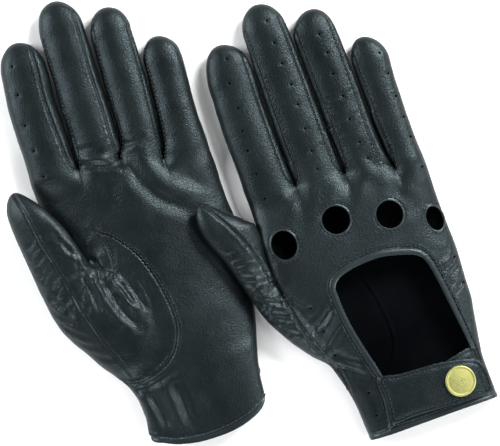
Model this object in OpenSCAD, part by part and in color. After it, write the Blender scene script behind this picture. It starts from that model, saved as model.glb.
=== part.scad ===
// Pair of leather driving gloves lying flat: the left glove palm up, the
// right glove back up, with the right thumb resting over the left glove's
// outer edge. Fingers run along +Y, +Z is up, the table is z = 0.

/* [Leather] */
// Thickness of the leather panels
leather_t = 1.2; // [0.9:0.1:1.5]
// Height of a filled-out finger at its root
finger_h = 14; // [12:0.5:15]
// How far the bound edges stand proud of the panels
bind_raise = 0.5; // [0.3:0.1:0.6]
// Width of the binding round the back opening
bind_w = 3; // [2.4:0.2:3.4]
// Width of the turned hem at the cuff
hem_w = 2.6; // [2:0.2:3.6]

/* [Ventilation] */
// Width of the facing ring round each knuckle hole
facing_w = 1.4; // [1:0.2:1.6]
// Scale of the knuckle holes
hole_scale = 1; // [0.85:0.05:1.1]

/* [Wrist strap] */
// Thickness of the strap with its lining
strap_t = 1.6; // [1.2:0.1:1.8]
// Radius of the snap cap
cap_r = 7.7; // [6:0.1:8]
// Height of the domed snap cap
cap_h = 1.7; // [1.2:0.1:2]
// Bore radius of the snap socket
socket_bore = 2.4; // [2.2:0.1:2.6]
// Head radius of the snap stud
stud_r = 2.0; // [1.8:0.1:2.1]

/* [Hidden] */

LEATHER = [0.13, 0.16, 0.17];
LINING = [0.05, 0.06, 0.06];
EDGE = [0.2, 0.24, 0.25];
BRASS = [0.8, 0.7, 0.48];

function lerp(a, b, t) = a + (b - a) * t;
// Cross-section bulge: 1 in the middle, 0 at the side seams (u = -1 and 1)
function bulge(u, n) = pow(max(0, 1 - pow(min(1, abs(u)), n)), 1 / n);

// Hand stations: [y, left, right, seam z left, seam z right, rise above the
// seam, drop below the seam, roundness of the top, of the bottom, inner step]
L_HAND = [
    [-1, -25, 27.5, 7.3, 7.3, 6.4, 2.6, 3, 6, 0],
    [8, -30, 30.4, 7.3, 7.3, 6.8, 2.6, 3, 6, 0],
    [20, -29.5, 32.3, 7.3, 7.3, 7.2, 2.6, 2.8, 6, 0],
    [32, -30.5, 35, 6.7, 6.7, 8.2, 2.6, 2.4, 6, 0],
    [40, -34, 38, 5, 4.6, 10, 4, 2.1, 6, 0],
    [50, -40.5, 41, 4, 3.4, 11.8, 4.2, 1.9, 6, 0],
    [60, -46.5, 43.3, 3.6, 2.8, 12.6, 4.2, 1.8, 6, 0],
    [72, -52, 45.5, 4, 2.4, 13, 4.4, 1.7, 6, 0],
    [85, -55.3, 47, 4.6, 2.4, 13, 4.8, 1.7, 6, 0],
    [98, -56.3, 48.2, 5, 2.4, 13, 5.2, 1.7, 6, -1.2],
    [99.6, -43, 48.2, 2.4, 2.4, 13, 4, 1.6, 6, -1.2],
    [112, -42.5, 48, 2.4, 2.4, 12.8, 4, 1.6, 6, 0],
    [128, -41.5, 48.6, 2.4, 2.6, 12.4, 4, 1.7, 6, 0],
    [147, -41, 49.3, 3, 3, 11.2, 4, 2, 6, 0]];
R_HAND = [
    [0, -35, 31, 4, 4, 9, 5, 3, 5, 0],
    [12, -35.6, 31.8, 4, 4, 9, 5, 3, 5, 0],
    [24, -36.5, 32.6, 4, 4, 9.2, 5, 2.8, 5, 0],
    [36, -39, 34.6, 4.4, 4, 9.4, 5, 2.5, 5, 0],
    [44, -42, 36, 5, 4, 9.6, 5.5, 2.3, 5, 0],
    [52, -49, 37.4, 6, 4, 9.8, 6, 2.2, 4, 0],
    [60, -54.3, 38, 7, 4, 10, 6.5, 2.1, 4, 0],
    [70, -60, 38.8, 9, 4, 10, 7, 2.1, 3.5, 0],
    [82, -64.5, 39, 11, 4, 10, 7.5, 2.1, 3, 0],
    [95, -67.5, 39.4, 12.6, 4, 10, 8, 2.1, 3, -1.2],
    [96.6, -51.3, 39.4, 14, 4, 9.6, 6, 2.1, 3.5, -1.2],
    [110, -51, 39.7, 13, 4, 9.6, 6, 2.1, 3.5, 0],
    [122, -50.5, 39.8, 10, 4, 9.6, 6, 2.2, 4, 0],
    [134.8, -50.3, 40, 7, 4, 9.8, 6, 2.4, 4, 0]];

// Finger: [x and half-width at the root, cut y, x and half-width near the
// tip, tip y, tip x, inner-left side, inner-right side]
L_FINGERS = [[-28.8, 11.9, 146, -24.8, 11.5, 217.5, -24, 0, 1],
    [-4.7, 10.9, 145, 0.6, 11, 230, 0, 1, 1],
    [16.8, 9.4, 143, 23, 10.3, 218, 24, 1, 1],
    [38.2, 10.4, 136.5, 43.2, 9.6, 195.5, 42, 1, 0]];
R_FINGERS = [[-38.8, 11.2, 134.5, -35.9, 10.9, 213, -36, 0, 1],
    [-12.4, 10.1, 133.5, -12, 10.6, 225.5, -11.5, 1, 1],
    [10.8, 9.2, 131, 11.4, 10.1, 213.5, 12.5, 1, 1],
    [32.4, 7.6, 125, 32.8, 8.8, 191.5, 31, 1, 0]];

// Thumb stations: [x, y, lean to the left, half-width, centre z, half height, side slope]
L_THUMB = [[-42.6, 100.4, 4, 13.2, 12, 5.7, 0.2], [-43.7, 110, 7, 13, 12.2, 5.8, 0.22], [-45.4, 122, 9, 12, 12.4, 5.8, 0.22],
    [-47.6, 132, 12, 10.6, 12.2, 5.6, 0.2], [-49.2, 139, 14, 8, 11.8, 5, 0.16], [-50.2, 143.5, 14, 5.2, 11.2, 3.8, 0.16], [-50.8, 146.6, 14, 2, 11, 1.8, 0.16]];
R_THUMB = [[-60.6, 97.4, 9, 8.2, 14.2, 5.6, -0.12], [-62, 106, 13, 9.2, 15, 5.8, -0.14], [-64.2, 116, 15, 10.6, 16, 5.8, -0.14],
    [-67, 126, 18, 10.4, 17, 5.6, -0.14], [-70, 134, 20, 8.4, 17.8, 5.2, -0.12], [-72.2, 139.4, 20, 5.2, 18, 3.8, -0.1], [-73.4, 142.4, 20, 2, 18, 1.8, -0.1]];

// Glove record: [place, hand, fingers, thumb, palm on top, panel shift, strap shift, root height]
L = [[-45.3, -98.35], L_HAND, L_FINGERS, L_THUMB, true, [8, 12], [3, 1], [14.2, 14.3, 14.3, 13.8]];
R = [[61.9, -131.65], R_HAND, R_FINGERS, R_THUMB, false, [0, 0], [0, 0], [14, 13.6, 13.4, 12.6]];

// Outlines drawn on the flat glove, right glove seen from its back
THUMB_PALM = [[-90, 26], [-40, 26], [-36, 24.5], [-30, 24.5], [-23, 26], [-18, 28], [-13, 31], [-9, 37], [-6.5, 43], [-5.5, 50], [-6, 58], [-7, 68], [-9, 76], [-12, 85],
    [-16, 91], [-21, 98], [-26, 102], [-24.5, 88], [-25, 81], [-27, 78], [-29, 80], [-31, 86], [-37, 96], [-40, 110], [-90, 110]];
QUIRK = [[-26, 102], [-24.5, 88], [-25, 81], [-27, 78], [-29, 80], [-31, 86], [-37, 96]];
THUMB_BACK = [[-90, 38], [-38.5, 38], [-42, 47], [-45, 55], [-47.5, 65], [-49, 75], [-50, 83], [-51.2, 99], [-90, 99]];
OPENING = [[-22.8, -9], [-22, 10], [-20.5, 22], [-19.5, 30], [-21, 42], [-23, 52], [-24.6, 63], [-25, 74], [-23.5, 80], [-19, 83.4], [-13, 85], [-5, 85.6],
    [2, 85.2], [10, 83.4], [17, 81], [21.5, 76], [24, 65], [25, 55], [26, 45], [27, 34], [27.6, 20], [27.8, -9]];
STRAP = [[-21.2, 6.4], [-19.4, 28.6], [-10, 27.5], [0, 26.7], [10, 25.7], [18, 24], [25, 22], [28.6, 20], [30.4, 17], [31, 12], [30.6, 7], [29, 4], [25, 3.4], [10, 3.6], [-5, 4.6], [-15, 5.4]];
UNDERLAP = [[-17, 2.6], [-16, 26.5], [0, 25.6], [15, 23.6], [22, 26.2], [29, 27], [29, 0], [15, 0.4], [0, 1.2]];
// Knuckle holes: [x, y, width, height]
HOLES = [[-41, 108, 12.5, 14.5], [-12.5, 110.5, 14, 14], [13.5, 103.5, 13.5, 14], [34.2, 93.5, 8.6, 12.5]];
// Centre of the snap
SNAP = [16.7, 13.5];

HAND_N = 18;
function hand_u(j) = -cos(180 * j / HAND_N);
function seam_z(s, u) = lerp(s[4], s[3], pow((1 - u) / 2, 2.5));
function hand_x(s, u, r) = (s[1] + s[2]) / 2 + ((s[2] - s[1]) / 2 + r) * u;
function top_z(s, u, r) = seam_z(s, u) + max(0, s[5] + r) * bulge(u, s[7]);
function low_z(s, u, r) = max(0, seam_z(s, u) - max(0, s[6] + r) * bulge(u, s[8]));
function in_z(s, u, r, t, top) = top ? seam_z(s, u) + max(0, s[5] + r - t) * bulge(u, s[7])
    : min(seam_z(s, u), max(low_z(s, u, r) + t * bulge(u, 8), seam_z(s, u) - max(0, s[6] + r - t) * bulge(u, s[8])));

// Closed solid between two grids of points with the same rows and columns
module skin(a, b) {
    m = len(a); n = len(a[0]);
    pts = [for (g = [a, b]) for (row = g) for (p = row) p];
    function id(k, i, j) = k * m * n + i * n + j;
    f = concat(
        [for (i = [0 : m - 2]) for (j = [0 : n - 2]) [id(0, i, j), id(0, i + 1, j), id(0, i + 1, j + 1)]],
        [for (i = [0 : m - 2]) for (j = [0 : n - 2]) [id(0, i, j), id(0, i + 1, j + 1), id(0, i, j + 1)]],
        [for (i = [0 : m - 2]) for (j = [0 : n - 2]) [id(1, i, j), id(1, i + 1, j + 1), id(1, i + 1, j)]],
        [for (i = [0 : m - 2]) for (j = [0 : n - 2]) [id(1, i, j), id(1, i, j + 1), id(1, i + 1, j + 1)]],
        [for (i = [0 : m - 2]) [id(0, i, 0), id(1, i, 0), id(1, i + 1, 0)]],
        [for (i = [0 : m - 2]) [id(0, i, 0), id(1, i + 1, 0), id(0, i + 1, 0)]],
        [for (i = [0 : m - 2]) [id(0, i, n - 1), id(1, i + 1, n - 1), id(1, i, n - 1)]],
        [for (i = [0 : m - 2]) [id(0, i, n - 1), id(0, i + 1, n - 1), id(1, i + 1, n - 1)]],
        [for (j = [0 : n - 2]) [id(0, 0, j), id(0, 0, j + 1), id(1, 0, j + 1)]],
        [for (j = [0 : n - 2]) [id(0, 0, j), id(1, 0, j + 1), id(1, 0, j)]],
        [for (j = [0 : n - 2]) [id(0, m - 1, j), id(1, m - 1, j + 1), id(0, m - 1, j + 1)]],
        [for (j = [0 : n - 2]) [id(0, m - 1, j), id(1, m - 1, j), id(1, m - 1, j + 1)]]);
    polyhedron(pts, f, convexity = 8);
}

// One side of the hand as a leather shell, its face raised by r
module hand_shell(g, top, r = 0, t = leather_t) {
    h = g[1];
    outer = [for (s = h) [for (j = [0 : HAND_N]) let (u = hand_u(j)) [hand_x(s, u, r), s[0], top ? top_z(s, u, r) : low_z(s, u, r)]]];
    inner = [for (s = h) [for (j = [0 : HAND_N]) let (u = hand_u(j)) [hand_x(s, u, r - t), s[0] + s[9], in_z(s, u, r, t, top)]]];
    if (top) skin(outer, inner); else skin(inner, outer);
}
module palm_shell(g, r = 0, t = leather_t) hand_shell(g, g[4], r, t);
module back_shell(g, r = 0, t = leather_t) hand_shell(g, !g[4], r, t);

module prism(pts, move = [0, 0]) translate([move[0], move[1], -10]) linear_extrude(60) polygon(pts);
module block(x0, x1, y0, y1, z0 = -10, z1 = 60) translate([x0, y0, z0]) cube([x1 - x0, y1 - y0, z1 - z0]);
// Steps at the finger roots, so that each finger has its own straight cut
module finger_steps(g) {
    f = g[2];
    edge = [-90, (f[0][0] + f[0][1] + f[1][0] - f[1][1]) / 2, (f[1][0] + f[1][1] + f[2][0] - f[2][1]) / 2, (f[2][0] + f[2][1] + f[3][0] - f[3][1]) / 2, 90];
    for (i = [0 : 3]) block(edge[i], edge[i + 1] + 0.01, f[i][2] - 0.2, 200);
}
// Way from the hand into the thumb
module thumb_way(g) {
    t = g[3][0];
    translate([t[0] - 1, t[1] - 1.6, t[4]]) rotate([-90, 0, t[2]]) scale([t[3] - 3.4, t[5] - 2.2, 1]) translate([0, 0, -5]) cylinder(10, 1, 1, $fn = 24);
}
module opening_shape(g, grow = 0) translate([g[6][0], g[6][1], -10]) linear_extrude(60) offset(delta = grow) polygon(OPENING);
module hole_shapes(g, grow = 0) for (h = HOLES) translate([h[0] + g[5][0], h[1] + g[5][1] - 0, -10]) scale([h[2] / 2 * hole_scale + grow, h[3] / 2 * hole_scale + grow, 1]) cylinder(60, 1, 1, $fn = 28);

module palm_panel(g) resize([0, 0, 0]) difference() {
    palm_shell(g);
    prism(THUMB_PALM, g[5]);
    prism(QUIRK, g[5]);
    finger_steps(g);
    block(-90, 90, -20, hem_w + g[1][0][0]);
}
module thumb_gusset(g) resize([0, 0, 0]) difference() {
    intersection() { palm_shell(g); prism(THUMB_PALM, g[5]); }
    prism(QUIRK, g[5]);
    thumb_way(g);
}
module thumb_gusset_back(g) resize([0, 0, 0]) difference() {
    intersection() { back_shell(g); prism(THUMB_BACK, [g[5][0] / 2, g[5][1] / 4]); }
    thumb_way(g);
}
module thumb_quirk(g) resize([0, 0, 0]) intersection() { palm_shell(g); prism(QUIRK, g[5]); }
module back_panel(g) resize([0, 0, 0]) difference() {
    back_shell(g);
    prism(THUMB_BACK, [g[5][0] / 2, g[5][1] / 4]);
    opening_shape(g, bind_w);
    hole_shapes(g, facing_w);
    finger_steps(g);
    thumb_way(g);
    block(-90, 90, -20, hem_w + g[1][0][0]);
}
module opening_binding(g) resize([0, 0, 0]) difference() {
    intersection() { back_shell(g, bind_raise, leather_t + 0.6); opening_shape(g, bind_w); }
    opening_shape(g);
    block(-90, 90, -20, hem_w + g[1][0][0]);
}
module knuckle_facings(g) resize([0, 0, 0]) difference() {
    intersection() { back_shell(g, 0.3, leather_t + 0.4); hole_shapes(g, facing_w); }
    hole_shapes(g);
}
module cuff_hem(g) resize([0, 0, 0]) difference() {
    union() {
        intersection() { palm_shell(g, bind_raise, leather_t + 0.6); block(-90, 90, -20, hem_w + g[1][0][0]); }
        intersection() { back_shell(g, bind_raise, leather_t + 0.6); block(-90, 90, -20, hem_w + g[1][0][0]); }
    }
    intersection() { opening_shape(g, 0.6); block(-90, 90, -20, 30, g[4] ? -10 : 7.5, g[4] ? 7 : 60); }
}
// Height of the strap's outer face under the snap, and which way is out
function snap_st(g) = let (a = g[1][1], b = g[1][2], t = (SNAP[1] + g[6][1] - a[0]) / (b[0] - a[0])) [for (i = [0 : 9]) lerp(a[i], b[i], t)];
function snap_x(g) = SNAP[0] + g[6][0];
function snap_y(g) = SNAP[1] + g[6][1];
function snap_u(g) = let (s = snap_st(g)) (snap_x(g) - (s[1] + s[2]) / 2) / ((s[2] - s[1]) / 2 + 1);
function out(g) = g[4] ? -1 : 1;
function skin_z(g, r) = let (s = snap_st(g), u = snap_u(g)) g[4] ? low_z(s, u, r) : top_z(s, u, r);
LIFT = 0.8;
module at_snap(g, r) translate([snap_x(g), snap_y(g), skin_z(g, r)]) scale([1, 1, 1]) rotate([out(g) > 0 ? 0 : 180, 0, 0]) children();

module strap(g) resize([0, 0, 0]) difference() {
    intersection() { back_shell(g, LIFT + bind_raise + strap_t, strap_t); prism(STRAP, g[6]); block(-90, 90, -20, 60, g[4] ? -10 : 5, g[4] ? 6.2 : 60); }
    at_snap(g, LIFT + bind_raise + strap_t) cylinder(8, cap_r + 0.15, cap_r + 0.15, $fn = 40);
    at_snap(g, LIFT + bind_raise) translate([0, 0, -8]) cylinder(8, 4.3, 4.3, $fn = 32);
    at_snap(g, 0) translate([0, 0, -8]) cylinder(20, 1.6, 1.6, $fn = 20);
}
module snap_cap(g) at_snap(g, LIFT + bind_raise + strap_t) union() {
    rotate_extrude($fn = 64) polygon([[0, 0], [cap_r, 0], [cap_r, 0.7], [cap_r - 0.5, 1.15], [cap_r - 1.5, 1.15], [cap_r - 2, 0.95], [cap_r - 3.6, cap_h - 0.2], [cap_r - 5.4, cap_h], [0, cap_h]]);
    translate([0, 0, -strap_t]) cylinder(strap_t + 0.1, 1.5, 1.5, $fn = 32);
}
module snap_socket(g) at_snap(g, LIFT + bind_raise) translate([0, 0, -1.2]) difference() {
    union() { cylinder(1.2, 4.2, 4.2, $fn = 48); }
    translate([0, 0, -0.1]) cylinder(1.0, socket_bore, socket_bore, $fn = 48);
}
module underlap_tab(g) resize([0, 0, 0]) difference() {
    intersection() { back_shell(g, -1.5, leather_t - 0.2); prism(UNDERLAP, g[6]); block(-90, 90, -20, 60, g[4] ? -10 : 8.2, g[4] ? 6.9 : 60); }
    at_snap(g, -1.5) cylinder(8, 4.3, 4.3, $fn = 32);
    at_snap(g, 0) translate([0, 0, -8]) cylinder(20, 1.4, 1.4, $fn = 20);
}
module snap_stud(g) at_snap(g, -1.5) union() {
    rotate_extrude($fn = 48) polygon([[0, -leather_t], [1.3, -leather_t], [1.3, 0], [3.6, 0], [3.6, 0.35], [1.5, 0.4], [1.5, 0.7], [stud_r, 1.0], [stud_r - 0.2, 1.5], [0, 1.5]]);
}

// Fingers: stations along the length, the last ones closing the round tip
TIP = [0, 0.2, 0.42, 0.62, 0.76];
DOME = [0, 0.35, 0.62, 0.82, 0.94, 1];
function finger_st(g, i) = let (f = g[2][i], h0 = g[7][i] / 2, len = f[5] - f[2] - 0.15, d = 11 / len, up = g[4])
    concat([for (s = TIP) let (q = s * (1 - d) / 0.76) [lerp(f[0], f[3], q), f[2] + 0.15 + len * q, 0, lerp(f[1], f[4], q), lerp(h0, h0 - 0.6, q), lerp(h0, h0 - 0.6, q), 0]],
        [for (k = [1 : 5]) let (e = DOME[k], c = max(0.16, sqrt(max(0, 1 - e * e)))) [lerp(f[3], f[6], e), f[2] + 0.15 + len * (1 - d + d * e), 0, f[4] * c, lerp(h0 - 0.6, 5.6, e), (h0 - 0.6) * pow(c, 0.9), 0]]);
// Point on a tube section at angle a, drawn in by t
function tube_pt(s, a, t) = let (w = max(0.5, s[3] - t), h = max(0.35, s[5] - t), c = cos(a), q = sin(a),
    v = w * sign(c) * pow(abs(c), 0.8), z = h * sign(q) * pow(abs(q), 0.8))
    [s[0] + v * cos(s[2]), s[1] + v * sin(s[2]), s[4] + s[6] * v + z];
module tube_panel(st, a0, a1, n) {
    m = len(st);
    outer = [for (i = [0 : m - 1]) [for (j = [0 : n]) tube_pt(st[i], lerp(a1, a0, j / n), 0)]];
    inner = [for (i = [0 : m - 1]) [for (j = [0 : n]) let (p = tube_pt(st[i], lerp(a1, a0, j / n), leather_t)) [p[0], p[1] - (i == m - 1 ? leather_t : 0), p[2]]]];
    skin(outer, inner);
}
// Angles at which the side walls begin
SIDE = 32;
function side_l(g, i) = g[2][i][7] == 1 ? SIDE : 0;
function side_r(g, i) = g[2][i][8] == 1 ? SIDE : 0;
module finger_upper(g, i) tube_panel(finger_st(g, i), side_r(g, i), 180 - side_l(g, i), 8);
module finger_lower(g, i) tube_panel(finger_st(g, i), 180 + side_l(g, i), 360 - side_r(g, i), 8);
module finger_front(g, i) if (g[4]) finger_upper(g, i); else finger_lower(g, i);
module finger_back(g, i) if (g[4]) finger_lower(g, i); else finger_upper(g, i);
module fourchette(g, i) {
    if (g[2][i][7] == 1) tube_panel(finger_st(g, i), 180 - SIDE, 180 + SIDE, 3);
    if (g[2][i][8] == 1) tube_panel(finger_st(g, i), -SIDE, SIDE, 3);
}
module thumb_upper(g) tube_panel(g[3], 0, 180, 10);
module thumb_lower(g) tube_panel(g[3], 180, 360, 10);
module thumb_front(g) if (g[4]) thumb_upper(g); else thumb_lower(g);
module thumb_back(g) if (g[4]) thumb_lower(g); else thumb_upper(g);
module place(g) translate([g[0][0], g[0][1], 0]) children();

module l_palm_panel() color(LEATHER) place(L) palm_panel(L);
module l_thumb_gusset() color(LEATHER) place(L) thumb_gusset(L);
module l_thumb_gusset_back() color(LEATHER) place(L) thumb_gusset_back(L);
module l_thumb_quirk() color(EDGE) place(L) thumb_quirk(L);
module l_back_panel() color(LEATHER) place(L) back_panel(L);
module l_opening_binding() color(EDGE) place(L) opening_binding(L);
module l_knuckle_facings() color(EDGE) place(L) knuckle_facings(L);
module l_cuff_hem() color(EDGE) place(L) cuff_hem(L);
module l_underlap_tab() color(LINING) place(L) underlap_tab(L);
module l_snap_stud() color(BRASS) place(L) snap_stud(L);
module l_strap() color(LEATHER) place(L) strap(L);
module l_snap_cap() color(BRASS) place(L) snap_cap(L);
module l_snap_socket() color(BRASS) place(L) snap_socket(L);
module l_thumb_front() color(LEATHER) place(L) thumb_front(L);
module l_thumb_back() color(LEATHER) place(L) thumb_back(L);
module l_index_front() color(LEATHER) place(L) finger_front(L, 0);
module l_index_back() color(LEATHER) place(L) finger_back(L, 0);
module l_index_fourchette() color(EDGE) place(L) fourchette(L, 0);
module l_middle_front() color(LEATHER) place(L) finger_front(L, 1);
module l_middle_back() color(LEATHER) place(L) finger_back(L, 1);
module l_middle_fourchettes() color(EDGE) place(L) fourchette(L, 1);
module l_ring_front() color(LEATHER) place(L) finger_front(L, 2);
module l_ring_back() color(LEATHER) place(L) finger_back(L, 2);
module l_ring_fourchettes() color(EDGE) place(L) fourchette(L, 2);
module l_little_front() color(LEATHER) place(L) finger_front(L, 3);
module l_little_back() color(LEATHER) place(L) finger_back(L, 3);
module l_little_fourchette() color(EDGE) place(L) fourchette(L, 3);
module r_palm_panel() color(LEATHER) place(R) palm_panel(R);
module r_thumb_gusset() color(LEATHER) place(R) thumb_gusset(R);
module r_thumb_gusset_back() color(LEATHER) place(R) thumb_gusset_back(R);
module r_thumb_quirk() color(EDGE) place(R) thumb_quirk(R);
module r_back_panel() color(LEATHER) place(R) back_panel(R);
module r_opening_binding() color(EDGE) place(R) opening_binding(R);
module r_knuckle_facings() color(EDGE) place(R) knuckle_facings(R);
module r_cuff_hem() color(EDGE) place(R) cuff_hem(R);
module r_underlap_tab() color(LINING) place(R) underlap_tab(R);
module r_snap_stud() color(BRASS) place(R) snap_stud(R);
module r_strap() color(LEATHER) place(R) strap(R);
module r_snap_cap() color(BRASS) place(R) snap_cap(R);
module r_snap_socket() color(BRASS) place(R) snap_socket(R);
module r_thumb_front() color(LEATHER) place(R) thumb_front(R);
module r_thumb_back() color(LEATHER) place(R) thumb_back(R);
module r_index_front() color(LEATHER) place(R) finger_front(R, 0);
module r_index_back() color(LEATHER) place(R) finger_back(R, 0);
module r_index_fourchette() color(EDGE) place(R) fourchette(R, 0);
module r_middle_front() color(LEATHER) place(R) finger_front(R, 1);
module r_middle_back() color(LEATHER) place(R) finger_back(R, 1);
module r_middle_fourchettes() color(EDGE) place(R) fourchette(R, 1);
module r_ring_front() color(LEATHER) place(R) finger_front(R, 2);
module r_ring_back() color(LEATHER) place(R) finger_back(R, 2);
module r_ring_fourchettes() color(EDGE) place(R) fourchette(R, 2);
module r_little_front() color(LEATHER) place(R) finger_front(R, 3);
module r_little_back() color(LEATHER) place(R) finger_back(R, 3);
module r_little_fourchette() color(EDGE) place(R) fourchette(R, 3);

l_palm_panel();
l_thumb_gusset();
l_thumb_gusset_back();
l_thumb_quirk();
l_back_panel();
l_opening_binding();
l_knuckle_facings();
l_cuff_hem();
l_underlap_tab();
l_snap_stud();
l_strap();
l_snap_cap();
l_snap_socket();
l_thumb_front();
l_thumb_back();
l_index_front();
l_index_back();
l_index_fourchette();
l_middle_front();
l_middle_back();
l_middle_fourchettes();
l_ring_front();
l_ring_back();
l_ring_fourchettes();
l_little_front();
l_little_back();
l_little_fourchette();
r_palm_panel();
r_thumb_gusset();
r_thumb_gusset_back();
r_thumb_quirk();
r_back_panel();
r_opening_binding();
r_knuckle_facings();
r_cuff_hem();
r_underlap_tab();
r_snap_stud();
r_strap();
r_snap_cap();
r_snap_socket();
r_thumb_front();
r_thumb_back();
r_index_front();
r_index_back();
r_index_fourchette();
r_middle_front();
r_middle_back();
r_middle_fourchettes();
r_ring_front();
r_ring_back();
r_ring_fourchettes();
r_little_front();
r_little_back();
r_little_fourchette();
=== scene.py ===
import bpy, bmesh, math
import numpy as np
from mathutils import Vector, Matrix
from mathutils.geometry import delaunay_2d_cdt
from mathutils.kdtree import KDTree


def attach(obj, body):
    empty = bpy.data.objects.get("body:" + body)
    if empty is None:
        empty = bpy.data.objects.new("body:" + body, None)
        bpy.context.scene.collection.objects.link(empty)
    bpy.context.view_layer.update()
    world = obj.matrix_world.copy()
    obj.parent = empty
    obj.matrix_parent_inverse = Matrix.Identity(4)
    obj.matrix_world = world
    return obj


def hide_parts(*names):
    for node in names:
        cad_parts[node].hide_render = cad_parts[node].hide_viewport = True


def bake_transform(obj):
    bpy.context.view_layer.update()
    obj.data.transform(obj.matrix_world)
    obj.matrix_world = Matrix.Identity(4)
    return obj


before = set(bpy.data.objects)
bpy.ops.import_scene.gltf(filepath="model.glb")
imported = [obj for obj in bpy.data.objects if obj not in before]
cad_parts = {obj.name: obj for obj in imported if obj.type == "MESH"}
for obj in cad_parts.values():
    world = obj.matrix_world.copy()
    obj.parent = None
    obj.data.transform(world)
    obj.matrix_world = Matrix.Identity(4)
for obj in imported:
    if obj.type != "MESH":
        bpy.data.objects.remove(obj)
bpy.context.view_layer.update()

MM = 0.001
THICK = 0.9          # leather, mm

# ------------------------------------------------------------------ helpers
def pchip(tab):
    x = np.array([p[0] for p in tab], float); y = np.array([p[1] for p in tab], float)
    h = np.diff(x); d = np.diff(y) / h
    m = np.zeros_like(y); m[0] = d[0]; m[-1] = d[-1]
    for i in range(1, len(x) - 1):
        if d[i - 1] * d[i] > 0:
            w1 = 2 * h[i] + h[i - 1]; w2 = h[i] + 2 * h[i - 1]
            m[i] = (w1 + w2) / (w1 / d[i - 1] + w2 / d[i])
    def f(q):
        q = np.clip(np.asarray(q, float), x[0], x[-1])
        i = np.clip(np.searchsorted(x, q) - 1, 0, len(x) - 2)
        t = (q - x[i]) / h[i]
        return ((2 * t**3 - 3 * t**2 + 1) * y[i] + (t**3 - 2 * t**2 + t) * h[i] * m[i]
                + (-2 * t**3 + 3 * t**2) * y[i + 1] + (t**3 - t**2) * h[i] * m[i + 1])
    return f

def smooth(a, b, x):
    t = np.clip((x - a) / (b - a), 0, 1)
    return t * t * (3 - 2 * t)

def dome(u, n):
    return np.power(np.maximum(0, 1 - np.power(np.minimum(1, np.abs(u)), n)), 1 / n)

def smax(a, b, k):
    h = np.clip(0.5 + 0.5 * (a - b) / k, 0, 1)
    return b + (a - b) * h + k * h * (1 - h)

def smin(a, b, k):
    return -smax(-a, -b, k)

def spline(pts, step=0.8, closed=False):
    """Points along a smooth curve through pts, about step apart."""
    p = np.asarray(pts, float)
    n = len(p)
    if n < 3:
        m = max(2, int(np.ceil(np.linalg.norm(p[-1] - p[0]) / step)) + 1)
        return np.linspace(p[0], p[-1], m)
    out = []
    segs = n if closed else n - 1
    for i in range(segs):
        if closed:
            a, b, c, d = p[(i - 1) % n], p[i], p[(i + 1) % n], p[(i + 2) % n]
        else:
            b, c = p[i], p[i + 1]
            a = p[i - 1] if i > 0 else 2 * b - c
            d = p[i + 2] if i + 2 < n else 2 * c - b
        l1 = max(1e-6, np.linalg.norm(b - a)) ** 0.5
        l2 = max(1e-6, np.linalg.norm(c - b)) ** 0.5
        l3 = max(1e-6, np.linalg.norm(d - c)) ** 0.5
        m1 = (c - b) + l2 * ((b - a) / l1 - (c - a) / (l1 + l2))
        m2 = (c - b) + l2 * ((d - c) / l3 - (d - b) / (l2 + l3))
        k = max(1, int(np.ceil(np.linalg.norm(c - b) / step)))
        t = (np.arange(k) / k)[:, None]
        out.append((2 * t**3 - 3 * t**2 + 1) * b + (t**3 - 2 * t**2 + t) * m1 + (-2 * t**3 + 3 * t**2) * c + (t**3 - t**2) * m2)
    q = np.vstack(out)
    return q if closed else np.vstack([q, p[-1:]])

def even(pts, step, closed=False):
    """Resample a polyline at even spacing."""
    p = np.asarray(pts, float)
    if closed:
        p = np.vstack([p, p[:1]])
    s = np.concatenate([[0], np.cumsum(np.linalg.norm(np.diff(p, axis=0), axis=1))])
    n = max(2, int(round(s[-1] / step)))
    q = np.linspace(0, s[-1], n + 1)
    r = np.stack([np.interp(q, s, p[:, k]) for k in range(p.shape[1])], 1)
    return r[:-1] if closed else r

def inside(poly, pts):
    poly = np.asarray(poly, float); x, y = pts[:, 0], pts[:, 1]
    r = np.zeros(len(pts), bool)
    j = len(poly) - 1
    for i in range(len(poly)):
        xi, yi = poly[i]; xj, yj = poly[j]
        if yi != yj:
            c = ((yi > y) != (yj > y)) & (x < (xj - xi) * (y - yi) / (yj - yi) + xi)
            r ^= c
        j = i
    return r

def area2(poly):
    x, y = poly[:, 0], poly[:, 1]
    return 0.5 * np.sum(x * np.roll(y, -1) - np.roll(x, -1) * y)

class Near:
    def __init__(s, pts):
        s.p = np.asarray(pts, float)
        s.k = KDTree(max(1, len(s.p)))
        for i, q in enumerate(s.p):
            s.k.insert((q[0], q[1], 0), i)
        s.k.balance()
    def dist(s, pts):
        if len(s.p) == 0:
            return np.full(len(pts), 1e3)
        return np.array([s.k.find((q[0], q[1], 0))[2] for q in pts])
    def idx(s, pts):
        return np.array([s.k.find((q[0], q[1], 0))[1] for q in pts])

def dense(line, closed=False, step=0.22):
    return even(line, step, closed)

# value noise, smooth and seeded
_rng = np.random.default_rng(7)
_tab = _rng.random((64, 64, 64)).astype(float)
def noise(p, scale, shift=0.0):
    q = np.asarray(p, float) / scale + 17.3 + shift
    i = np.floor(q).astype(int); f = q - i; f = f * f * (3 - 2 * f)
    r = 0
    for dx in (0, 1):
        for dy in (0, 1):
            for dz in (0, 1):
                w = (f[:, 0] if dx else 1 - f[:, 0]) * (f[:, 1] if dy else 1 - f[:, 1]) * (f[:, 2] if dz else 1 - f[:, 2])
                r = r + w * _tab[(i[:, 0] + dx) % 64, (i[:, 1] + dy) % 64, (i[:, 2] + dz) % 64]
    return r * 2 - 1

# ------------------------------------------------------------------ planar sheets
GRID = 1.0

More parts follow.
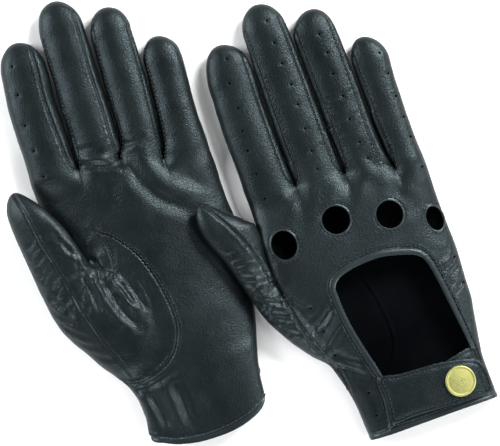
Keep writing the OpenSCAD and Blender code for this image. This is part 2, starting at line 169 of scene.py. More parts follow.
def ring_points(line, closed, dists, both):
    p = np.asarray(line, float)
    if closed:
        t = np.roll(p, -1, 0) - np.roll(p, 1, 0)
    else:
        t = np.gradient(p, axis=0)
    t /= np.maximum(1e-9, np.linalg.norm(t, axis=1))[:, None]
    n = np.stack([-t[:, 1], t[:, 0]], 1)
    out = []
    for d in dists:
        out.append((d, p + n * d))
        if both:
            out.append((d, p - n * d))
    return out

def triangulate(outline, holes, lines, rings_out=(0.06, 0.22, 0.55, 1.05, 1.7), rings_in=(0.3, 0.7, 1.25), grid=None):
    """Triangles over a planar outline, with the holes left out and every line kept as edges."""
    grid = grid or GRID
    if area2(outline) < 0:
        outline = outline[::-1]
    pts = [outline]; edges = []; off = 0
    edges += [(i, (i + 1) % len(outline)) for i in range(len(outline))]
    off = len(outline)
    for h in holes:
        pts.append(h); edges += [(off + i, off + (i + 1) % len(h)) for i in range(len(h))]; off += len(h)
    for l in lines:
        pts.append(l); edges += [(off + i, off + i + 1) for i in range(len(l) - 1)]; off += len(l)
    fixed = np.vstack([dense(outline, True)] + [dense(h, True) for h in holes] + [dense(l) for l in lines])
    near = Near(fixed)
    cand = ring_points(outline, True, rings_out, False)
    for h in holes:
        small = np.ptp(h[:, 0]) < 3
        cand += ring_points(h, True, (0.35,) if small else rings_in, True)
    for l in lines:
        cand += ring_points(l, False, rings_in, True)
    cand.sort(key=lambda c: c[0])
    taken = {}; ring = []
    for d, q in cand:
        ok = (near.dist(q) > 0.86 * d) & inside(outline, q)
        cell = max(0.34, min(0.6, 0.36 + 0.2 * d)) * 1
        for x, y in q[ok]:
            kx, ky = int(x // 0.6), int(y // 0.6); hit = False
            for ax in (-1, 0, 1):
                for ay in (-1, 0, 1):
                    for (u, v) in taken.get((kx + ax, ky + ay), ()):
                        if (u - x) ** 2 + (v - y) ** 2 < cell * cell:
                            hit = True; break
                    if hit: break
                if hit: break
            if not hit:
                taken.setdefault((kx, ky), []).append((x, y)); ring.append((x, y))
    if ring:
        pts.append(np.array(ring))
    lo, hi = outline.min(0), outline.max(0)
    ys = np.arange(lo[1], hi[1], grid * 0.87)
    g = np.vstack([np.stack([np.arange(lo[0], hi[0], grid) + (grid / 2 if k % 2 else 0), np.full(len(np.arange(lo[0], hi[0], grid)), y)], 1) for k, y in enumerate(ys)])
    g = g[inside(outline, g)]
    g = g[near.dist(g) > 1.35]
    if ring:
        rk = Near(np.array(ring)); g = g[rk.dist(g) > 0.6 * grid]
    g = g + _rng.normal(0, 0.03, g.shape)
    pts.append(g)
    allp = np.vstack(pts)
    r = delaunay_2d_cdt([Vector((float(a), float(b))) for a, b in allp], edges, [], 0, 1e-6)
    v = np.array([(c[0], c[1]) for c in r[0]], float)
    f = np.array([t for t in r[2] if len(t) == 3], int)
    c = v[f].mean(1)
    keep = inside(outline, c)
    for h in holes:
        keep &= ~inside(h, c)
    f = f[keep]
    a = (v[f[:, 1], 0] - v[f[:, 0], 0]) * (v[f[:, 2], 1] - v[f[:, 0], 1]) - (v[f[:, 2], 0] - v[f[:, 0], 0]) * (v[f[:, 1], 1] - v[f[:, 0], 1])
    f[a < 0] = f[a < 0][:, ::-1]
    f = f[np.abs(a) > 1e-9]
    return v, f

def vertex_normals(v, f):
    e1 = v[f[:, 1]] - v[f[:, 0]]; e2 = v[f[:, 2]] - v[f[:, 0]]
    n = np.cross(e1, e2); out = np.zeros_like(v)
    for k in range(3):
        a = v[f[:, (k + 1) % 3]] - v[f[:, k]]; b = v[f[:, (k + 2) % 3]] - v[f[:, k]]
        ang = np.arccos(np.clip((a * b).sum(1) / np.maximum(1e-12, np.linalg.norm(a, axis=1) * np.linalg.norm(b, axis=1)), -1, 1))
        w = n / np.maximum(1e-12, np.linalg.norm(n, axis=1))[:, None] * ang[:, None]
        np.add.at(out, f[:, k], w)
    return out / np.maximum(1e-12, np.linalg.norm(out, axis=1))[:, None]

# ------------------------------------------------------------------ materials
def new_mat(name):
    m = bpy.data.materials.new(name); m.use_nodes = True
    nt = m.node_tree; nt.nodes.clear()
    out = nt.nodes.new("ShaderNodeOutputMaterial"); b = nt.nodes.new("ShaderNodeBsdfPrincipled")
    nt.links.new(b.outputs[0], out.inputs[0])
    return m, nt, b

def leather(name, c1, c2, rough=(0.36, 0.5), grain=0.35, scale=1.0, sheen=0.0, coat=0.0, spec=0.5):
    m, nt, b = new_mat(name)
    N = nt.nodes.new; L = nt.links.new
    tc = N("ShaderNodeTexCoord")
    wide = N("ShaderNodeTexNoise"); wide.inputs["Scale"].default_value = 38; wide.inputs["Detail"].default_value = 4
    L(tc.outputs["Object"], wide.inputs["Vector"])
    ramp = N("ShaderNodeValToRGB"); ramp.color_ramp.elements[0].position = 0.35; ramp.color_ramp.elements[1].position = 0.68
    ramp.color_ramp.elements[0].color = (*c1, 1); ramp.color_ramp.elements[1].color = (*c2, 1)
    L(wide.outputs["Fac"], ramp.inputs["Fac"]); L(ramp.outputs["Color"], b.inputs["Base Color"])
    pores = N("ShaderNodeTexVoronoi"); pores.feature = "F1"; pores.inputs["Scale"].default_value = 1450 * scale
    warp = N("ShaderNodeTexNoise"); warp.inputs["Scale"].default_value = 700 * scale; warp.inputs["Detail"].default_value = 2
    L(tc.outputs["Object"], warp.inputs["Vector"])
    mixv = N("ShaderNodeMixRGB"); mixv.blend_type = "LINEAR_LIGHT"; mixv.inputs[0].default_value = 0.0007
    L(tc.outputs["Object"], mixv.inputs[1]); L(warp.outputs["Color"], mixv.inputs[2])
    L(mixv.outputs[0], pores.inputs["Vector"])
    fine = N("ShaderNodeTexNoise"); fine.inputs["Scale"].default_value = 2600 * scale; fine.inputs["Detail"].default_value = 3
    L(tc.outputs["Object"], fine.inputs["Vector"])
    soft = N("ShaderNodeTexNoise"); soft.inputs["Scale"].default_value = 260; soft.inputs["Detail"].default_value = 3
    L(tc.outputs["Object"], soft.inputs["Vector"])
    add = N("ShaderNodeMath"); add.operation = "MULTIPLY_ADD"; add.inputs[1].default_value = 0.5
    L(fine.outputs["Fac"], add.inputs[0]); L(pores.outputs["Distance"], add.inputs[2])
    add2 = N("ShaderNodeMath"); add2.operation = "MULTIPLY_ADD"; add2.inputs[1].default_value = 0.38
    L(soft.outputs["Fac"], add2.inputs[0]); L(add.outputs[0], add2.inputs[2])
    bump = N("ShaderNodeBump"); bump.inputs["Strength"].default_value = grain; bump.inputs["Distance"].default_value = 0.00022
    L(add2.outputs[0], bump.inputs["Height"]); L(bump.outputs[0], b.inputs["Normal"])
    rr = N("ShaderNodeMapRange"); rr.inputs["From Min"].default_value = 0.3; rr.inputs["From Max"].default_value = 0.7
    rr.inputs["To Min"].default_value = rough[0]; rr.inputs["To Max"].default_value = rough[1]
    r2 = N("ShaderNodeTexNoise"); r2.inputs["Scale"].default_value = 90; r2.inputs["Detail"].default_value = 5
    L(tc.outputs["Object"], r2.inputs["Vector"]); L(r2.outputs["Fac"], rr.inputs["Value"]); L(rr.outputs[0], b.inputs["Roughness"])
    b.inputs["Specular IOR Level"].default_value = spec; b.inputs["Specular Tint"].default_value = (0.72, 0.92, 1.0, 1)
    b.inputs["Sheen Weight"].default_value = sheen; b.inputs["Sheen Roughness"].default_value = 0.5
    b.inputs["Coat Weight"].default_value = coat; b.inputs["Coat Roughness"].default_value = 0.3
    return m

M_LEATHER = leather("glove_leather", (0.0026, 0.0041, 0.0045), (0.0052, 0.0076, 0.0082), rough=(0.30, 0.40), grain=0.48, spec=0.265)
M_EDGE = leather("glove_edge_leather", (0.0062, 0.0090, 0.0098), (0.0105, 0.0145, 0.0155), rough=(0.28, 0.38), grain=0.25, spec=0.34)
M_INSIDE = leather("glove_flesh_side", (0.0013, 0.0015, 0.0020), (0.0021, 0.0025, 0.0031), rough=(0.85, 0.95), grain=0.7, scale=0.6, spec=0.0)

def thread_mat():
    m, nt, b = new_mat("glove_thread")
    N = nt.nodes.new; L = nt.links.new
    tc = N("ShaderNodeTexCoord"); w = N("ShaderNodeTexWave"); w.inputs["Scale"].default_value = 2200; w.bands_direction = "DIAGONAL"
    L(tc.outputs["Object"], w.inputs["Vector"])
    r = N("ShaderNodeValToRGB"); r.color_ramp.elements[0].color = (0.0025, 0.0034, 0.0038, 1); r.color_ramp.elements[1].color = (0.0105, 0.0135, 0.0145, 1)
    L(w.outputs["Fac"], r.inputs["Fac"]); L(r.outputs["Color"], b.inputs["Base Color"])
    bp = N("ShaderNodeBump"); bp.inputs["Strength"].default_value = 0.4; bp.inputs["Distance"].default_value = 0.0001
    L(w.outputs["Fac"], bp.inputs["Height"]); L(bp.outputs[0], b.inputs["Normal"])
    b.inputs["Roughness"].default_value = 0.5; b.inputs["Specular IOR Level"].default_value = 0.35; b.inputs["Specular Tint"].default_value = (0.72, 0.92, 1.0, 1)
    return m
M_THREAD = thread_mat()

def brass_mat(name, col1, col2, rough):
    m, nt, b = new_mat(name)
    N = nt.nodes.new; L = nt.links.new
    tc = N("ShaderNodeTexCoord"); n = N("ShaderNodeTexNoise"); n.inputs["Scale"].default_value = 420; n.inputs["Detail"].default_value = 6
    L(tc.outputs["Object"], n.inputs["Vector"])
    r = N("ShaderNodeValToRGB"); r.color_ramp.elements[0].position = 0.3; r.color_ramp.elements[1].position = 0.7
    r.color_ramp.elements[0].color = (*col1, 1); r.color_ramp.elements[1].color = (*col2, 1)
    L(n.outputs["Fac"], r.inputs["Fac"]); L(r.outputs["Color"], b.inputs["Base Color"])
    mr = N("ShaderNodeMapRange"); mr.inputs["To Min"].default_value = rough; mr.inputs["To Max"].default_value = rough + 0.14
    L(n.outputs["Fac"], mr.inputs["Value"]); L(mr.outputs[0], b.inputs["Roughness"])
    bp = N("ShaderNodeBump"); bp.inputs["Strength"].default_value = 0.12; bp.inputs["Distance"].default_value = 0.0001
    L(n.outputs["Fac"], bp.inputs["Height"]); L(bp.outputs[0], b.inputs["Normal"])
    b.inputs["Metallic"].default_value = 1
    return m
M_BRASS = brass_mat("snap_brass", (0.275, 0.275, 0.092), (0.33, 0.327, 0.126), 0.46)

# ------------------------------------------------------------------ objects
def make_object(name, verts, faces, mats, fmat, nrm=None, smooth_faces=True):
    me = bpy.data.meshes.new(name)
    me.from_pydata([tuple(v) for v in (verts * MM)], [], [tuple(int(i) for i in f) for f in faces])
    for m in mats:
        me.materials.append(m)
    me.polygons.foreach_set("material_index", np.asarray(fmat, np.int32))
    me.polygons.foreach_set("use_smooth", np.ones(len(me.polygons), bool) if smooth_faces is True else smooth_faces)
    me.update()
    if nrm is not None:
        me.normals_split_custom_set([tuple(n) for n in nrm])
    ob = bpy.data.objects.new(name, me)
    bpy.context.scene.collection.objects.link(ob)
    return ob

def shell(name, v, n, f, t=THICK, outer=None, inner=None):
    """A leather piece: the outer faces, the same faces drawn in by t, and the cut edge round them."""
    used = np.unique(f); back = np.full(len(v), -1); back[used] = np.arange(len(used))
    v = v[used]; n = n[used]; f = back[f]; m = len(v)
    tt = t if np.isscalar(t) else t[used][:, None]
    V = np.vstack([v, v - n * tt])
    e = np.sort(np.vstack([f[:, [0, 1]], f[:, [1, 2]], f[:, [2, 0]]]), 1)
    d = np.vstack([f[:, [0, 1]], f[:, [1, 2]], f[:, [2, 0]]])
    key = e[:, 0].astype(np.int64) * (m + 1) + e[:, 1]
    u, inv, cnt = np.unique(key, return_inverse=True, return_counts=True)
    rim = d[cnt[inv] == 1]
    faces = [tuple(x) for x in f] + [tuple(x) for x in (f[:, ::-1] + m)]
    nr = [n[f].reshape(-1, 3), -n[f[:, ::-1]].reshape(-1, 3)]
    rn = []
    for a, b in rim:
        faces.append((b, a, a + m, b + m))
        q = np.cross(V[a] - V[b], V[a + m] - V[b]); q = q / max(1e-12, np.linalg.norm(q))
        rn += [q] * 4
    nrm = np.vstack(nr + ([np.array(rn)] if len(rn) else []))
    fm = [0] * len(f) + [1] * len(f) + [0] * len(rim)
    return make_object(name, V, faces, [outer or M_LEATHER, inner or M_INSIDE], fm, nrm)

class Thread:
    """Stitches gathered into one mesh."""
    def __init__(s): s.v = []; s.f = []; s.n = 0
    def add(s, a, b, up, r=0.2):
        d = b - a; L = np.linalg.norm(d)
        if L < 1e-6: return
        d = d / L; up = up - d * (up @ d); up /= max(1e-9, np.linalg.norm(up)); side = np.cross(d, up)
        ts = np.array([0, 0.12, 0.5, 0.88, 1.0]); rs = np.array([0.35, 0.9, 1.05, 0.9, 0.35]) * r
        hs = np.array([-0.8, 0.35, 0.75, 0.35, -0.8]) * r
        k = 6; base = s.n
        for t, rr, h in zip(ts, rs, hs):
            for j in range(k):
                an = 2 * math.pi * j / k
                s.v.append(a + d * L * t + up * (h + rr * math.sin(an)) + side * rr * math.cos(an))
        for i in range(len(ts) - 1):
            for j in range(k):
                s.f.append((base + i * k + j, base + i * k + (j + 1) % k, base + (i + 1) * k + (j + 1) % k, base + (i + 1) * k + j))
        s.f.append(tuple(base + j for j in range(k))[::-1]); s.f.append(tuple(base + (len(ts) - 1) * k + j for j in range(k)))
        s.n += len(ts) * k
    def build(s, name):
        if not s.f: return None
        return make_object(name, np.array(s.v), s.f, [M_THREAD], [0] * len(s.f))

# ------------------------------------------------------------------ glove shapes (mm, glove's own frame)
class G: pass

L = G(); R = G()
L.id, R.id = "l", "r"
L.o = np.array([-45.3, -98.35, 0.0]); R.o = np.array([61.9, -131.65, 0.0])
# hand alone: left and right edge against y
L.hl = pchip([(-4, -26), (3, -28.5), (10, -30.6), (19, -29.3), (27, -29.5), (35, -31.3), (40, -33.2), (50, -36), (70, -40), (90, -42), (110, -42.5), (128, -41.7), (147, -41.2)])
L.hr = pchip([(-4, 26), (3, 28.8), (8, 30.4), (19, 32), (27, 34), (35, 36.5), (43, 39.2), (51, 41.3), (59, 43), (75, 46), (91, 47.7), (99, 48.2), (107, 47.9), (115, 48), (123, 48.5), (131, 48.8), (147, 49.4)])
L.sil = pchip([(-4, -26), (3, -28.5), (10, -30.6), (19, -29.3), (27, -29.5), (35, -31.3), (43, -36), (51, -41.3), (59, -45.5), (67, -50), (75, -53.3), (83, -55), (91, -55.8), (99, -56.4), (110, -57)])
R.hl = pchip([(-2, -34.6), (3, -35.4), (19, -36), (27, -37), (35, -38.8), (41, -40.3), (47, -42.5), (55, -45.3), (65, -47.8), (75, -49.3), (83, -50.3), (95, -51.5), (105, -51.4), (115, -51), (123, -50.5), (139, -50.3), (147, -49.8)])
R.hr = pchip([(-2, 31.6), (3, 31.8), (19, 32), (27, 33), (35, 34.5), (43, 36), (51, 37.5), (59, 38), (75, 39), (91, 39.3), (107, 39.5), (123, 39.8), (139, 40)])
R.sil = pchip([(-2, -34.6), (3, -35.4), (19, -36), (27, -37), (35, -38.8), (43, -41.4), (51, -48.3), (59, -53.8), (67, -58.5), (75, -62.5), (83, -64.9), (91, -66.9), (100, -69)])
# heights: seam level left and right, rise, drop, roundness
L.zl = pchip([(0, 7.3), (20, 7.3), (32, 6.7), (40, 5), (50, 4), (85, 3.4), (110, 2.4), (147, 3)])
L.zr = pchip([(0, 7.3), (20, 7.3), (32, 6.7), (40, 4.6), (50, 3.4), (72, 2.4), (112, 2.4), (147, 3)])
L.tt = pchip([(0, 5.6), (8, 6.4), (20, 7), (32, 8.2), (40, 10), (50, 11.4), (60, 12.2), (98, 12.6), (128, 12.2), (147, 11.2)])
L.tb = pchip([(0, 2.6), (32, 2.6), (40, 4), (147, 4)])
L.nt = pchip([(0, 3), (20, 2.8), (40, 2.1), (60, 1.8), (112, 1.65), (147, 2)])
L.nb = 5.0
R.zl = pchip([(0, 4), (36, 4.4), (52, 6.5), (70, 10), (82, 13), (92, 14.6), (108, 14), (122, 10.4), (135, 7), (150, 6)])
R.zr = pchip([(0, 4), (150, 4.5)])
R.tt = pchip([(0, 8.6), (24, 9.2), (60, 10), (96, 9.6), (122, 9.6), (150, 9.6)])
R.tb = pchip([(0, 4), (44, 4), (60, 5), (134, 5)])
R.nt = pchip([(0, 3), (24, 2.8), (44, 2.3), (122, 2.2), (140, 2.4)])
R.nb = 4.0
# fingers: xl, xr, tip (x, y), length of the round end, centre height, half height
def F(xl, xr, tip, lt, zc, h, cut): 
    f = G(); f.xl = pchip(xl); f.xr = pchip(xr); f.tx, f.ty = tip; f.yd = tip[1] - lt; f.zc = zc; f.h = h; f.cut = cut; return f
L.f = [F([(110, -42.5), (128, -41.7), (147, -41.2), (155, -40.3), (163, -39.8), (171, -39.5), (179, -39), (187, -38.3), (195, -37.3), (203, -36), (218, -34.5)],
         [(110, -17), (147, -16), (150, -16), (165, -15.3), (176, -15.0), (182, -15.1), (190, -14.3), (197, -13), (218, -12.4)], (-24, 217.5), 15, 6.9, 6.9, 146),
       F([(110, -17), (147, -16), (150, -15.8), (160, -14.8), (170, -14.1), (177, -13.7), (184, -12.9), (190, -12.3), (200, -11.6), (215, -10.5), (230, -10)],
         [(110, 4), (145, 5), (150, 7.9), (160, 8.8), (175, 9.7), (190, 10.7), (205, 11.6), (215, 12), (230, 12.2)], (0.5, 230), 15, 7.0, 7.0, 145),
       F([(110, 4), (145, 5), (150, 8.1), (160, 9.2), (175, 10.2), (190, 11.6), (205, 12.9), (218, 14)],
         [(110, 24), (137, 25.5), (145, 27.7), (150, 28.4), (160, 29.8), (170, 31), (180, 31.9), (190, 32.8), (205, 34.2), (218, 34.6)], (24, 218), 14, 6.9, 6.9, 143),
       F([(110, 24), (137, 25.5), (145, 28.1), (150, 28.8), (160, 30.3), (170, 31.7), (180, 32.9), (196, 33.6)],
         [(110, 48), (137, 49.1), (147, 49.4), (155, 50), (163, 50.6), (171, 51.4), (179, 52.3), (196, 53)], (42.6, 195.5), 13, 6.5, 6.5, 136.5)]
R.f = [F([(100, -51), (123, -50.5), (139, -50.3), (147, -49.8), (163, -49.6), (179, -49.2), (187, -48.4), (195, -48), (203, -46.6), (213, -45.6)],
         [(100, -25), (134, -25), (137, -25.3), (150, -25.5), (160, -25.5), (168, -25.7), (177, -25.6), (185, -24.9), (192, -24.3), (200, -24.3), (213, -24.4)], (-36, 213), 13, 6.8, 6.6, 134.5),
       F([(100, -25), (134, -25), (137, -24.8), (150, -24.9), (160, -24.9), (168, -24.4), (177, -24.1), (185, -23.9), (192, -23.7), (203, -23.2), (225, -22.6)],
         [(100, 0), (131, 0), (134, -0.2), (145, -0.3), (160, -0.3), (175, -0.3), (190, -0.3), (203, -0.4), (225, -0.4)], (-11.6, 225.5), 14, 6.8, 6.6, 133.5),
       F([(100, 0), (131, 0), (134, 0.2), (150, 0.2), (170, 0.2), (190, 0.3), (203, 0.4), (214, 1)],
         [(100, 24), (124.5, 24.5), (128, 23.4), (134, 22.7), (140, 22.4), (150, 22.2), (160, 22.4), (175, 22.6), (190, 22.5), (203, 22.3), (214, 22.4)], (12.5, 213.5), 13, 6.6, 6.5, 131),
       F([(100, 24), (124.5, 24.5), (128, 23.9), (134, 23.1), (140, 22.8), (150, 22.6), (160, 22.8), (175, 23.0), (192, 23.2)],
         [(100, 39.4), (123, 39.8), (147, 40), (155, 40.3), (163, 40.6), (171, 41.3), (179, 42), (192, 41.4)], (31.8, 191.5), 13, 6.0, 6.0, 125)]
L.joint_pt = (-42.6, 99 + 13.8 / 28.6 * 2); R.joint_pt = (-53.4, 92 + 13.7 / 15.9 * 1.2)
L.crotch = [(-16, 147), (5, 145), (25.5, 137)]; R.crotch = [(-25, 134), (0, 131), (24.5, 124.5)]
L.yc = [(-70, 147), (-16, 147), (5, 145), (25.5, 137), (70, 134.5)]; R.yc = [(-70, 134), (-25, 134), (0, 131), (24.5, 124.5), (70, 122)]
# thumbs
def T(xl, xr, y0, tip, zc, h, sl, base):
    t = G(); t.xl = pchip(xl); t.xr = pchip(xr); t.yd = y0; t.tx, t.ty = tip; t.zc = pchip(zc); t.h = pchip(h); t.sl = pchip(sl); t.base = base; return t
L.t = T([(30, -30), (35, -31.3), (43, -36), (51, -41.3), (59, -45.5), (67, -50), (75, -53.3), (83, -55), (91, -55.8), (99, -56.4), (110, -57), (123, -57.6), (131, -58), (147, -57.6)],
        [(30, -16), (38, -12), (50, -3), (60, -1), (70, -2), (80, -6), (90, -14), (97, -24), (101, -27.8), (105, -28.8), (112, -30.2), (122, -33), (133, -38), (147, -44)],
        133, (-50.6, 147.3), [(30, 6), (50, 6.6), (70, 7), (85, 7.6), (95, 9.6), (100, 11.4), (110, 12.2), (132, 12.2), (147, 10.6)],
        [(30, 4), (50, 8.6), (65, 10.2), (80, 10), (92, 8), (100, 6.2), (112, 5.9), (132, 5.6), (147, 4.6)],
        [(30, 0), (80, 0.03), (95, 0.12), (102, 0.2), (147, 0.18)], [(-56.4, 99), (-27.8, 101)])
R.t = T([(36, -39), (43, -41.4), (51, -48.3), (59, -53.8), (67, -58.5), (75, -62.5), (83, -64.9), (93, -67.4), (100, -69), (106, -70.5), (112, -72.2), (119, -75), (126, -77), (133, -77.9), (143, -78)],
        [(36, -30), (60, -38), (75, -43), (88, -49.6), (93.2, -51.2), (108, -50.9), (116, -50.4), (122.5, -51), (127, -55), (133, -60), (143, -67.6)],
        128, (-72.6, 142.6), [(36, 5), (52, 7), (70, 9), (82, 10.6), (92, 12.2), (100, 13.4), (116, 15.2), (128, 16.6), (143, 17.2)],
        [(36, 3), (52, 6), (70, 7.4), (82, 7), (92, 6.2), (105, 5.8), (128, 5.5), (143, 4.6)],
        [(36, 0), (70, -0.05), (92, -0.14), (110, -0.16), (143, -0.12)], [(-67.1, 92), (-51.2, 93.2)])

def wrinkle_field(g, p, side):
    """Folds and creases, mm along the outward normal. side: 't' top sheet, 'b' bottom."""
    d = 0.34 * noise(p, 19, 1) + 0.2 * noise(p, 8.5, 5) + 0.07 * noise(p, 3.6, 9)
    for (pts, depth, width) in g.creases.get(side, ()):
        near = Near(dense(spline(pts, 0.6), step=0.4)); x = near.dist(p[:, :2])
        tl = 1.0
        # fade at both ends
        q = np.asarray(pts, float); a = np.linalg.norm(p[:, :2] - q[0], axis=1); b = np.linalg.norm(p[:, :2] - q[-1], axis=1)
        fade = smooth(0, 3.5 * width, np.minimum(a, b)) * 0.75 + 0.25
        d = d + depth * np.exp(-(x / width) ** 2) * fade - 0.35 * depth * np.exp(-((x - 2.0 * width) / (1.1 * width)) ** 2) * fade
    return d

def finger_uv(f, x, y):
    xl, xr = f.xl(y), f.xr(y); t = np.clip((y - f.yd) / (f.ty - f.yd), 0, 1.2)
    xc = (xl + xr) / 2; w = np.maximum(0.5, (xr - xl) / 2)
    xc = xc + (f.tx - xc) * np.clip(t, 0, 1) ** 2
    return (x - xc) / w, t, w, xc

def finger_of(g, x, y):
    i = np.zeros(len(x), int)
    for k in range(3):
        yy = np.maximum(y, g.crotch[k][1] - 12)
        b = (g.f[k].xr(yy) + g.f[k + 1].xl(yy)) / 2
        b = np.where(y > g.f[k + 1].ty + 1.2, 1e3, np.where(y > g.f[k].ty + 1.2, -1e3, b))
        i += (x > b).astype(int)
    return i

def thumb_h(g, x, y, ext=True):
    t = g.t; xl, xr = t.xl(y), t.xr(y); xc = (xl + xr) / 2; w = (xr - xl) / 2
    k = np.clip((y - t.yd) / (t.ty - t.yd), 0, 1.2); xc = xc + (t.tx - xc) * np.clip(k, 0, 1) ** 2
    u = (x - xc) / np.maximum(w, 0.5); q = np.sqrt(u * u + k * k)
    e = dome(q, 2.1)
    mid = t.zc(y) + t.sl(y) * (x - xc)
    over = np.maximum(0, np.abs(u) - 1)
    return mid, mid + t.h(y) * e - 26 * over, mid - t.h(y) * dome(q, 2.6) + 26 * over

def hand_h(g, x, y):
    xl, xr = g.hl(y), g.hr(y); u = (x - (xl + xr) / 2) / ((xr - xl) / 2)
    uc = np.clip(u, -1, 1)
    mid = g.zr(y) + (g.zl(y) - g.zr(y)) * np.power((1 - uc) / 2, 2.5)
    over = np.maximum(0, np.abs(u) - 1)
    return mid, mid + g.tt(y) * dome(u, g.nt(y)) - 170 * over, mid - g.tb(y) * dome(u, g.nb) + 170 * over, u

def heights(g, p, with_thumb=True):
    """Top and bottom of the glove (no thumb beyond its root) at planar points p."""
    x, y = p[:, 0], p[:, 1]
    mid, top, low, u = hand_h(g, x, y)
    if with_thumb is not False:
        m2, t2, l2 = thumb_h(g, x, y)
        a = np.array(g.t.base[0]); b = np.array(g.t.base[1])
        line = a[1] + (x - a[0]) * (b[1] - a[1]) / (b[0] - a[0])
        dx = np.maximum(0.02, 0.9 * (x - b[0]))
        on = np.where(y <= line + 1e-4, 1.0, np.where(x > b[0] + 0.01, 1 - smooth(0, 1, (y - line) / dx), 0.0))
        if with_thumb == "all":
            on = np.ones(len(x))
        on = on * (y > 32)
        ins = u > -1
        fade = np.where(ins, smooth(34, 46, y), 1.0) * on
        top = top + (smax(top, t2, 2.0) - top) * fade
        low = low + (smin(low, l2, 2.0) - low) * fade
        mid = np.where((on > 0.5) & ~ins, m2, mid)
    low = np.maximum(0.05, np.minimum(low, top - 0.3))
    yc = np.interp(x, [c[0] for c in g.yc], [c[1] for c in g.yc])
    s = smooth(0, 1, (y - (yc - 13)) / 15)
    k = finger_of(g, x, y)
    ft = np.zeros(len(x)); fl = np.zeros(len(x)); fm = np.zeros(len(x))
    for i, f in enumerate(g.f):
        m = k == i
        if not m.any(): continue
        uu, t, w, xc = finger_uv(f, x[m], y[m])
        shrink = 0.80 + 0.20 * smooth(0, 1, (y[m] - yc[m] + 9) / 9)
        if i == 0: shrink = np.where(uu > 0, shrink, 1)
        if i == 3: shrink = np.where(uu < 0, shrink, 1)
        q = np.sqrt((uu * shrink) ** 2 + t * t)
        taper = 1 - 0.12 * smooth(f.cut, f.ty, y[m])
        ft[m] = f.zc * taper + f.h * taper * dome(q, 2.15)
        fl[m] = np.maximum(0.05, f.zc * taper - f.h * taper * dome(q, 2.8))
        fm[m] = f.zc * taper
    top = top + (ft - top) * s; low = low + (fl - low) * s
    low = np.maximum(0.05, low)
    mid = mid + (fm - mid) * s
    return mid, top, low

def base_line(g):
    """The line across the thumb where it leaves the hand, with a point where the thumb's seam crosses."""
    a, b = np.array(g.t.base[0], float), np.array(g.t.base[1], float)
    m = np.array(g.joint_pt, float)
    return np.vstack([even([a, m], 0.8)[:-1], even([m, b], 0.8)])

def outline_of(g, sheet):
    """Closed outline of a sheet, anticlockwise from the cuff's left end, with a flag on points that stay open."""
    P = []; W = []
    def put(pts, weld=True):
        for q in pts:
            P.append((float(q[0]), float(q[1]))); W.append(weld)
    cuff = spline(g.cuff, 0.9)
    put(cuff, False)
    y0 = cuff[-1][1]
    ys = np.arange(y0 + 0.9, g.f[3].cut, 0.9)
    put(np.stack([g.hr(ys), ys], 1))
    for i in (3, 2, 1, 0):
        f = g.f[i]
        yb = f.cut if i == 3 else g.crotch[i][1] + 0.0
        ys = np.arange(yb + (0.0 if i == 3 else 0.9), f.yd, 0.9)
        xr = f.xr(ys)
        if i < 3:
            gap = 0.36 * smooth(0, 5, ys - g.crotch[i][1]); m = (f.xr(ys) + g.f[i + 1].xl(ys)) / 2
            xr = np.minimum(xr, m - gap / 2)
        put(np.stack([xr, ys], 1))
        th = np.linspace(0, math.pi, 40)[1:-1]
        yt = f.yd + (f.ty - f.yd) * np.sin(th)
        a, b = f.xl(yt), f.xr(yt); xc = (a + b) / 2; w = (b - a) / 2; t = np.sin(th); xc = xc + (f.tx - xc) * t ** 2
        put(np.stack([xc + w * np.cos(th), yt], 1))
        ye = (g.crotch[i - 1][1]) if i > 0 else f.cut
        ys = np.arange(f.yd, ye + (0.5 if i > 0 else 0), -0.9)
        xl = f.xl(ys)
        if i > 0:
            gap = 0.36 * smooth(0, 5, ys - g.crotch[i - 1][1]); m = (g.f[i - 1].xr(ys) + f.xl(ys)) / 2
            xl = np.maximum(xl, m + gap / 2)
        put(np.stack([xl, ys], 1))
        if i > 0:
            put([g.crotch[i - 1]])
    a, b = np.array(g.t.base[0], float), np.array(g.t.base[1], float)
    if g.id == "l":
        c = np.array([float(g.hl(100.0)), 0.0]); c[1] = a[1] + (c[0] - a[0]) * (b[1] - a[1]) / (b[0] - a[0]) + 0.2
        ys = np.arange(g.f[0].cut - 0.9, c[1] + 0.9, -0.9)
        put(np.stack([g.hl(ys), ys], 1))
        if sheet == "t":
            put(even([c, b + (0.0, 0.35)], 0.9)[:-1], False)
            put(base_line(g)[::-1], False)
        else:
            put(base_line(g)[::-1][base_line(g)[::-1][:, 0] < c[0] - 0.3], False)
        ys = np.arange(a[1] - 0.9, g.cuff[0][1] + 0.6, -0.9)
        put(np.stack([g.sil(ys), ys], 1))
    else:
        ys = np.arange(g.f[0].cut - 0.9, b[1] + 0.5, -0.9)
        put(np.stack([g.hl(ys), ys], 1))
        put(base_line(g)[::-1], False)
        ys = np.arange(a[1] - 0.9, g.cuff[0][1] + 0.6, -0.9)
        put(np.stack([g.sil(ys), ys], 1))
    return np.array(P), np.array(W)

# cuff edge, from the left end to the right end
L.cuff = [(-30.6, 10), (-29.2, 6.6), (-25, 4.2), (-20, 1.6), (-10, -1.4), (0, -2.5), (10, -2.4), (20, -0.4), (27, 3), (30.3, 8)]
R.cuff = [(-35.2, 1.2), (-28, 0.8), (-24, 0.6), (-10, 0.4), (0, 0.2), (10, 0), (25, -0.6), (31.6, -1)]
L.creases = {}; R.creases = {}

# ------------------------------------------------------------------ lines and regions
def sh(pts, d):
    return [(p[0] + d[0], p[1] + d[1]) for p in pts]

